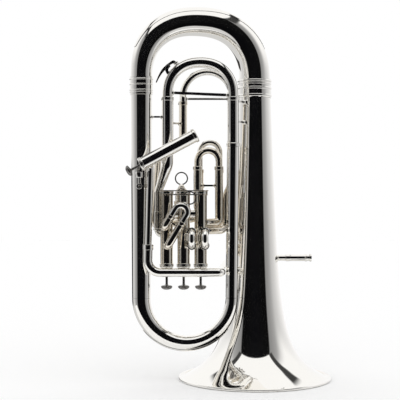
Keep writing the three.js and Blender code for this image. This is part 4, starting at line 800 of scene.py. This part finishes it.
plate_rings = np.stack([stadium(r, z) for r, z in (
    (9.0, 348.9), (12.9, 348.9), (13.2, 349.2), (13.2, 350.9), (12.9, 351.2), (9.0, 351.2))])
strap_rings = np.stack([stadium(r, z) for r, z in (
    (13.1, 356.2), (14.0, 356.2), (14.2, 356.4), (14.2, 358.1), (14.0, 358.3), (13.1, 358.3))])
add_piece("valve_tie_plate", [skin(plate_rings), skin(strap_rings)], "body", ["valve_plate"], tarnish_and_painted_bounce_silver)
print("leadpipe is", round(length), "mm long")

# %% [markdown]
# ## Lyre holder
# A small cup on the left branch takes the shank of a music lyre. It stands on a round boss that is
# soldered to the branch. Both are turned pieces, one along Y and one upright.

# %% Boss, post and cup
lyre_x, boss_z, cup_z, cup_height = -215, 365.5, 381, 10.5
boss_face = at(lyre_x, -88, boss_z)
boss = rounded([(0, 4), (1.9, 4), (1.9, 0.3), (2.3, 0), (5.0, 0), (5.5, 0.7), (5.5, 13.2), (0, 13.2)], 0.3)
post = [(0, 0), (2.6, 0), (2.6, 16.4), (0, 16.4)]
cup_rows = rounded([(0, 0), (5.6, 0), (6.5, 1.0), (6.5, 9.8), (6.1, cup_height), (5.4, cup_height),
                    (5.0, 10.0), (5.0, 1.5), (0, 1.5)], 0.4)
add_piece("lyre_socket", [turned(boss, boss_face, Y, 40), turned(post, at(lyre_x, -84, boss_z), Z, 28),
                          turned(cup_rows, at(lyre_x, -84, cup_z), Z, 48)], "body", ["lyre_holder"])
print("lyre socket stands", cup_z + cup_height, "mm up")

# %% [markdown]
# ## Valves
# Each casing is a straight tube with a cap screwed on each end. Here the top caps point down. The
# caps have a knurled band for the fingers, cut as fine ridges by letting the radius wave.

# %% Casings, caps and buttons
def knurled(profile, place, axis, band, ridges=64, sides=384, depth=0.09, ring=True):
    """A turned form whose radius waves by depth x cos(ridges x angle) between two heights."""
    vertices, quads = turned(profile, (0, 0, 0), Z, sides, ring)
    rings = vertices.reshape(-1, sides, 3)
    inside = ((rings[..., 2] > band[0]) & (rings[..., 2] < band[1])
              & (np.hypot(rings[..., 0], rings[..., 1]) > band[2]))
    wave = 1 + depth * np.cos(ridges * np.linspace(0, 2 * np.pi, sides, endpoint=False)) / band[2]
    rings[..., :2] *= np.where(inside, wave[None, :], 1.0)[..., None]
    across = unit(np.cross(Y, axis))
    upward = np.cross(axis, across)
    turned_rings = rings[..., :1] * across + rings[..., 1:2] * upward + rings[..., 2:] * axis + place
    return turned_rings.reshape(-1, 3), quads


valve_foot, casing_inner, casing_outer, cap_inner, cap_outer = 214, 10.4, 11.6, 12.0, 12.9
valves = [(name, valve + Z * valve_foot, Z, 144.5, 32.5, 9.0)
          for name, valve in (("1", valve_1), ("2", valve_2), ("3", valve_3))]
valves.append(("4", fourth_foot, fourth_axis, 117.5, 19.5, 7.4))
for name, foot, axis, length, stem, cap in valves:
    barrel = [(casing_inner, cap / 2), (casing_outer, cap / 2), (casing_outer, length - 2.7),
              (casing_inner, length - 2.7)]
    # Casings 1 to 3 take the browner silver, partly tarnish and partly painted reflection between tubes.
    add_piece("casing_" + name, [turned(barrel, foot, axis, 96, ring=True)], "body", ["valve_casing_" + name],
              silver if name == "4" else tarnish_and_painted_bounce_silver)
    top = rounded([(3.0, 0), (9.9, 0), (12.4, 1.1), (cap_outer, 2.6), (cap_outer, cap - 1.2),
                   (12.3, cap), (cap_inner, cap), (cap_inner, cap / 2 - 0.3), (3.0, cap / 2 - 0.3),
                   (3.0, 0)], 0.5, 3)[:-1]
    add_piece("top_cap_" + name, [knurled(top, foot, axis, (2.8, cap - 1.4, 12.6))], "body",
              ["valve_top_cap_" + name], cap_silver)
    bottom = rounded([(cap_inner, length - 7), (cap_outer, length - 7), (cap_outer, length - 2.4),
                      (12.2, length - 1.2), (10.5, length - 0.3), (1.6, length), (1.6, length - 2.4),
                      (cap_inner, length - 2.4), (cap_inner, length - 7)], 0.5, 3)[:-1]
    add_piece("bottom_cap_" + name, [knurled(bottom, foot, axis, (length - 6.2, length - 3, 12.6))], "body",
              ["valve_bottom_cap_" + name], cap_silver)
    button = rounded([(0, cap / 2 + 2.0), (2.3, cap / 2 + 2.0), (2.3, 2.2 - stem), (3.4, 1.2 - stem),
                      (8.8, 0.1 - stem), (10.5, -stem - 1.0), (10.6, -stem - 3.2), (9.0, -stem - 5.4),
                      (5.6, -stem - 7.2), (2.6, -stem - 7.7), (0, -stem - 7.8)], 1.1, 5)
    # The buttons take the dark colour: painted dark reflection.
    add_piece("button_" + name, [turned(button, foot, axis, 72)], "valve_" + name, ["finger_button_" + name],
              dark_painted_reflection_button)
print("valves:", [v[0] for v in valves])

# %% [markdown]
# ## Pistons and springs
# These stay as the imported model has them, because the casings hide them. They get the steel finish.

# %% Finish of the carried-over nodes
for name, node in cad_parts.items():
    if name.startswith(("piston_", "valve_spring_")):
        node.data.materials.clear()
        node.data.materials.append(steel)
print("plain nodes:", [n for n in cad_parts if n.startswith(("piston", "valve_spring"))])

# %% [markdown]
# ## Floor, light and camera
# The instrument stands on a white floor in a white room. The camera and the shadows see that room.
# Reflections see a world of their own: pale panels and one dark side behind the camera, which each
# tube mirrors as a black line. The floor is hidden from reflections. A card of the same paint, near
# the instrument, is seen by reflections only and stands in for it.

# %% Floor and card
floor_half, floor_z = 6, -0.0005
floor_corners = [(-floor_half, -floor_half, floor_z), (floor_half, -floor_half, floor_z),
                 (floor_half, floor_half, floor_z), (-floor_half, floor_half, floor_z)]
floor_mesh = bpy.data.meshes.new("floor")
floor_mesh.from_pydata(floor_corners, [], [(0, 1, 2, 3)])
floor = bpy.data.objects.new("floor", floor_mesh)
bpy.context.scene.collection.objects.link(floor)
floor_paint = bpy.data.materials.new("white_floor")
floor_paint.use_nodes = True
paint = floor_paint.node_tree.nodes["Principled BSDF"]
paint.inputs["Base Color"].default_value = (1, 1, 1, 1)
paint.inputs["Roughness"].default_value = 0.9
paint.inputs["Specular IOR Level"].default_value = 0.0
floor_mesh.materials.append(floor_paint)
floor.visible_glossy = False

card_mesh = bpy.data.meshes.new("front_card")
card_left, card_right, card_front, card_back = -0.8, 0.6, -0.36, -0.06
card_corners = np.array([(card_left, card_front, 0), (card_right, card_front, 0),
                         (card_right, card_back, 0), (card_left, card_back, 0)])
card_mesh.from_pydata((card_corners + bell_axis * (X + Y)).tolist(), [], [(0, 1, 2, 3)])
card = bpy.data.objects.new("front_card", card_mesh)
bpy.context.scene.collection.objects.link(card)
card_mesh.materials.append(floor_paint)
card.visible_camera = False
card.visible_diffuse = False
card.visible_shadow = False
print("floor at", floor_mesh.vertices[0].co.z)

# %% World
world = bpy.data.worlds.new("studio")
bpy.context.scene.world = world
world.use_nodes = True
tree = world.node_tree
tree.nodes.clear()
output = tree.nodes.new("ShaderNodeOutputWorld")
background = tree.nodes.new("ShaderNodeBackground")
tree.links.new(background.outputs["Background"], output.inputs["Surface"])
where = tree.nodes.new("ShaderNodeTexCoord")
parts_of = tree.nodes.new("ShaderNodeSeparateXYZ")
tree.links.new(where.outputs["Generated"], parts_of.inputs["Vector"])


def calculate(operation, first, second=None, third=None):
    """One Math node whose inputs are links or plain numbers."""
    node = tree.nodes.new("ShaderNodeMath")
    node.operation = operation
    for socket, value in zip(node.inputs, (first, second, third)):
        if value is None:
            continue
        if isinstance(value, (int, float)):
            socket.default_value = value
        else:
            tree.links.new(value, socket)
    return node.outputs[0]


def soft_edge(value, inner, outer):
    """One on the inner value's side, nought on the outer value's side, smooth between."""
    node = tree.nodes.new("ShaderNodeMapRange")
    node.interpolation_type = "SMOOTHSTEP"
    tree.links.new(value, node.inputs["Value"])
    node.inputs["From Min"].default_value = inner
    node.inputs["From Max"].default_value = outer
    node.inputs["To Min"].default_value = 1.0
    node.inputs["To Max"].default_value = 0.0
    return node.outputs["Result"]


def leaning(across, along, up, inner, outer):
    """One where across x |x| + along x y + up x z is above inner, nought below outer."""
    total = calculate("MULTIPLY", sideways, across)
    total = calculate("MULTIPLY_ADD", parts_of.outputs["Y"], along, total)
    total = calculate("MULTIPLY_ADD", parts_of.outputs["Z"], up, total)
    return soft_edge(total, inner, outer)


def mixed(factor, first, second):
    """The first colour where the factor is nought, the second where it is one."""
    node = tree.nodes.new("ShaderNodeMix")
    node.data_type = "RGBA"
    tree.links.new(factor, node.inputs["Factor"])
    for socket, value in ((node.inputs["A"], first), (node.inputs["B"], second)):
        if isinstance(value, (int, float)):
            socket.default_value = (value, value, value, 1)
        else:
            tree.links.new(value, socket)
    return node.outputs["Result"]


def both(*factors):
    """The product of several factors."""
    result = factors[0]
    for factor in factors[1:]:
        result = calculate("MULTIPLY", result, factor)
    return result


sideways = calculate("ABSOLUTE", parts_of.outputs["X"])
forward = calculate("MULTIPLY", parts_of.outputs["Y"], -1.0)
azimuth = calculate("ABSOLUTE", calculate("ARCTAN2", parts_of.outputs["X"], forward))
height = calculate("ARCSINE", parts_of.outputs["Z"])
round_ramp = tree.nodes.new("ShaderNodeValToRGB")
ramp = round_ramp.color_ramp
side_light = [(47, 0.003), (50.5, 0.26), (60, 0.30), (72, 0.38), (87, 0.56), (102, 0.66), (118, 0.78),
              (150, 0.97)]
coolness = 1.01
ramp.elements[0].color = (0.003, 0.003, 0.004, 1)
for degrees, level in side_light:
    ramp.elements.new(degrees / 180).color = (level, level, level * coolness, 1)
tree.links.new(calculate("DIVIDE", azimuth, math.pi), round_ramp.inputs["Fac"])

# %% Panels of light and shade
degree = math.radians(1)
front_edge, floor_edge = 54 * degree, -44 * degree
ceiling_side = (-0.82, -0.175, 0.545)
gap_shade, floor_shade, back_shade = 0.05, 0.66, 0.03
# Round the sides the ramp rules. Behind and high up the ring turns white.
side_panel = both(soft_edge(azimuth, 105 * degree, 72 * degree), soft_edge(height, 28 * degree, 6 * degree))
around = mixed(side_panel, round_ramp.outputs["Color"], 1.0)
# A low dark patch behind on the left.
back_gap = both(soft_edge(parts_of.outputs["X"], -0.02, 0.02), soft_edge(azimuth, 124 * degree, 114 * degree),
                soft_edge(azimuth, 163 * degree, 170 * degree),
                soft_edge(height, 0.5 * degree, 2 * degree), soft_edge(height, -9 * degree, -14 * degree))
# Overhead is a white ceiling with a dark gap in it.
above = leaning(0, math.sin(front_edge), math.cos(front_edge), 0.012, -0.012)
before_back = soft_edge(parts_of.outputs["Y"], 0.5, 0.64)
low_enough = soft_edge(height, 58.5 * degree, 62 * degree)
gap = mixed(both(before_back, low_enough), 1.0, gap_shade)
ceiling = mixed(leaning(*ceiling_side, 0.05, 0.02), gap, 1.0)
overhead = mixed(leaning(*ceiling_side, -0.08, -0.12), around, ceiling)
# Below is an even grey.
below = both(leaning(0, math.sin(floor_edge), math.cos(floor_edge), -0.02, 0.012),
             soft_edge(height, -16 * degree, -9 * degree))
level = mixed(above, around, overhead)
level = mixed(below, level, floor_shade)
level = mixed(back_gap, level, back_shade)
# Only reflections see the panels. The camera and the shadows see white.
light_path = tree.nodes.new("ShaderNodeLightPath")
seen = mixed(light_path.outputs["Is Glossy Ray"], 1.0, level)
tree.links.new(seen, background.inputs["Color"])
print("world nodes:", len(tree.nodes))

# %% Camera
camera_data = bpy.data.cameras.new("camera")
camera = bpy.data.objects.new("camera", camera_data)
bpy.context.scene.collection.objects.link(camera)
distance, camera_side, camera_height = 2.0, 0.104, 0.350
camera.location = (bell_axis[0] - camera_side, -distance, camera_height)
camera.rotation_euler = (math.pi / 2, 0, 0)
picture_pixels, metres_a_pixel, shift_pixels, sensor = 400, 0.001908, -5.4, 36
field = picture_pixels * metres_a_pixel
camera_data.sensor_width = sensor
camera_data.lens = sensor * distance / field
camera_data.shift_y = shift_pixels / picture_pixels
camera_data.clip_end = 30
bpy.context.scene.camera = camera
bpy.context.scene.view_settings.view_transform = "Standard"
print("lens", round(camera_data.lens, 1))
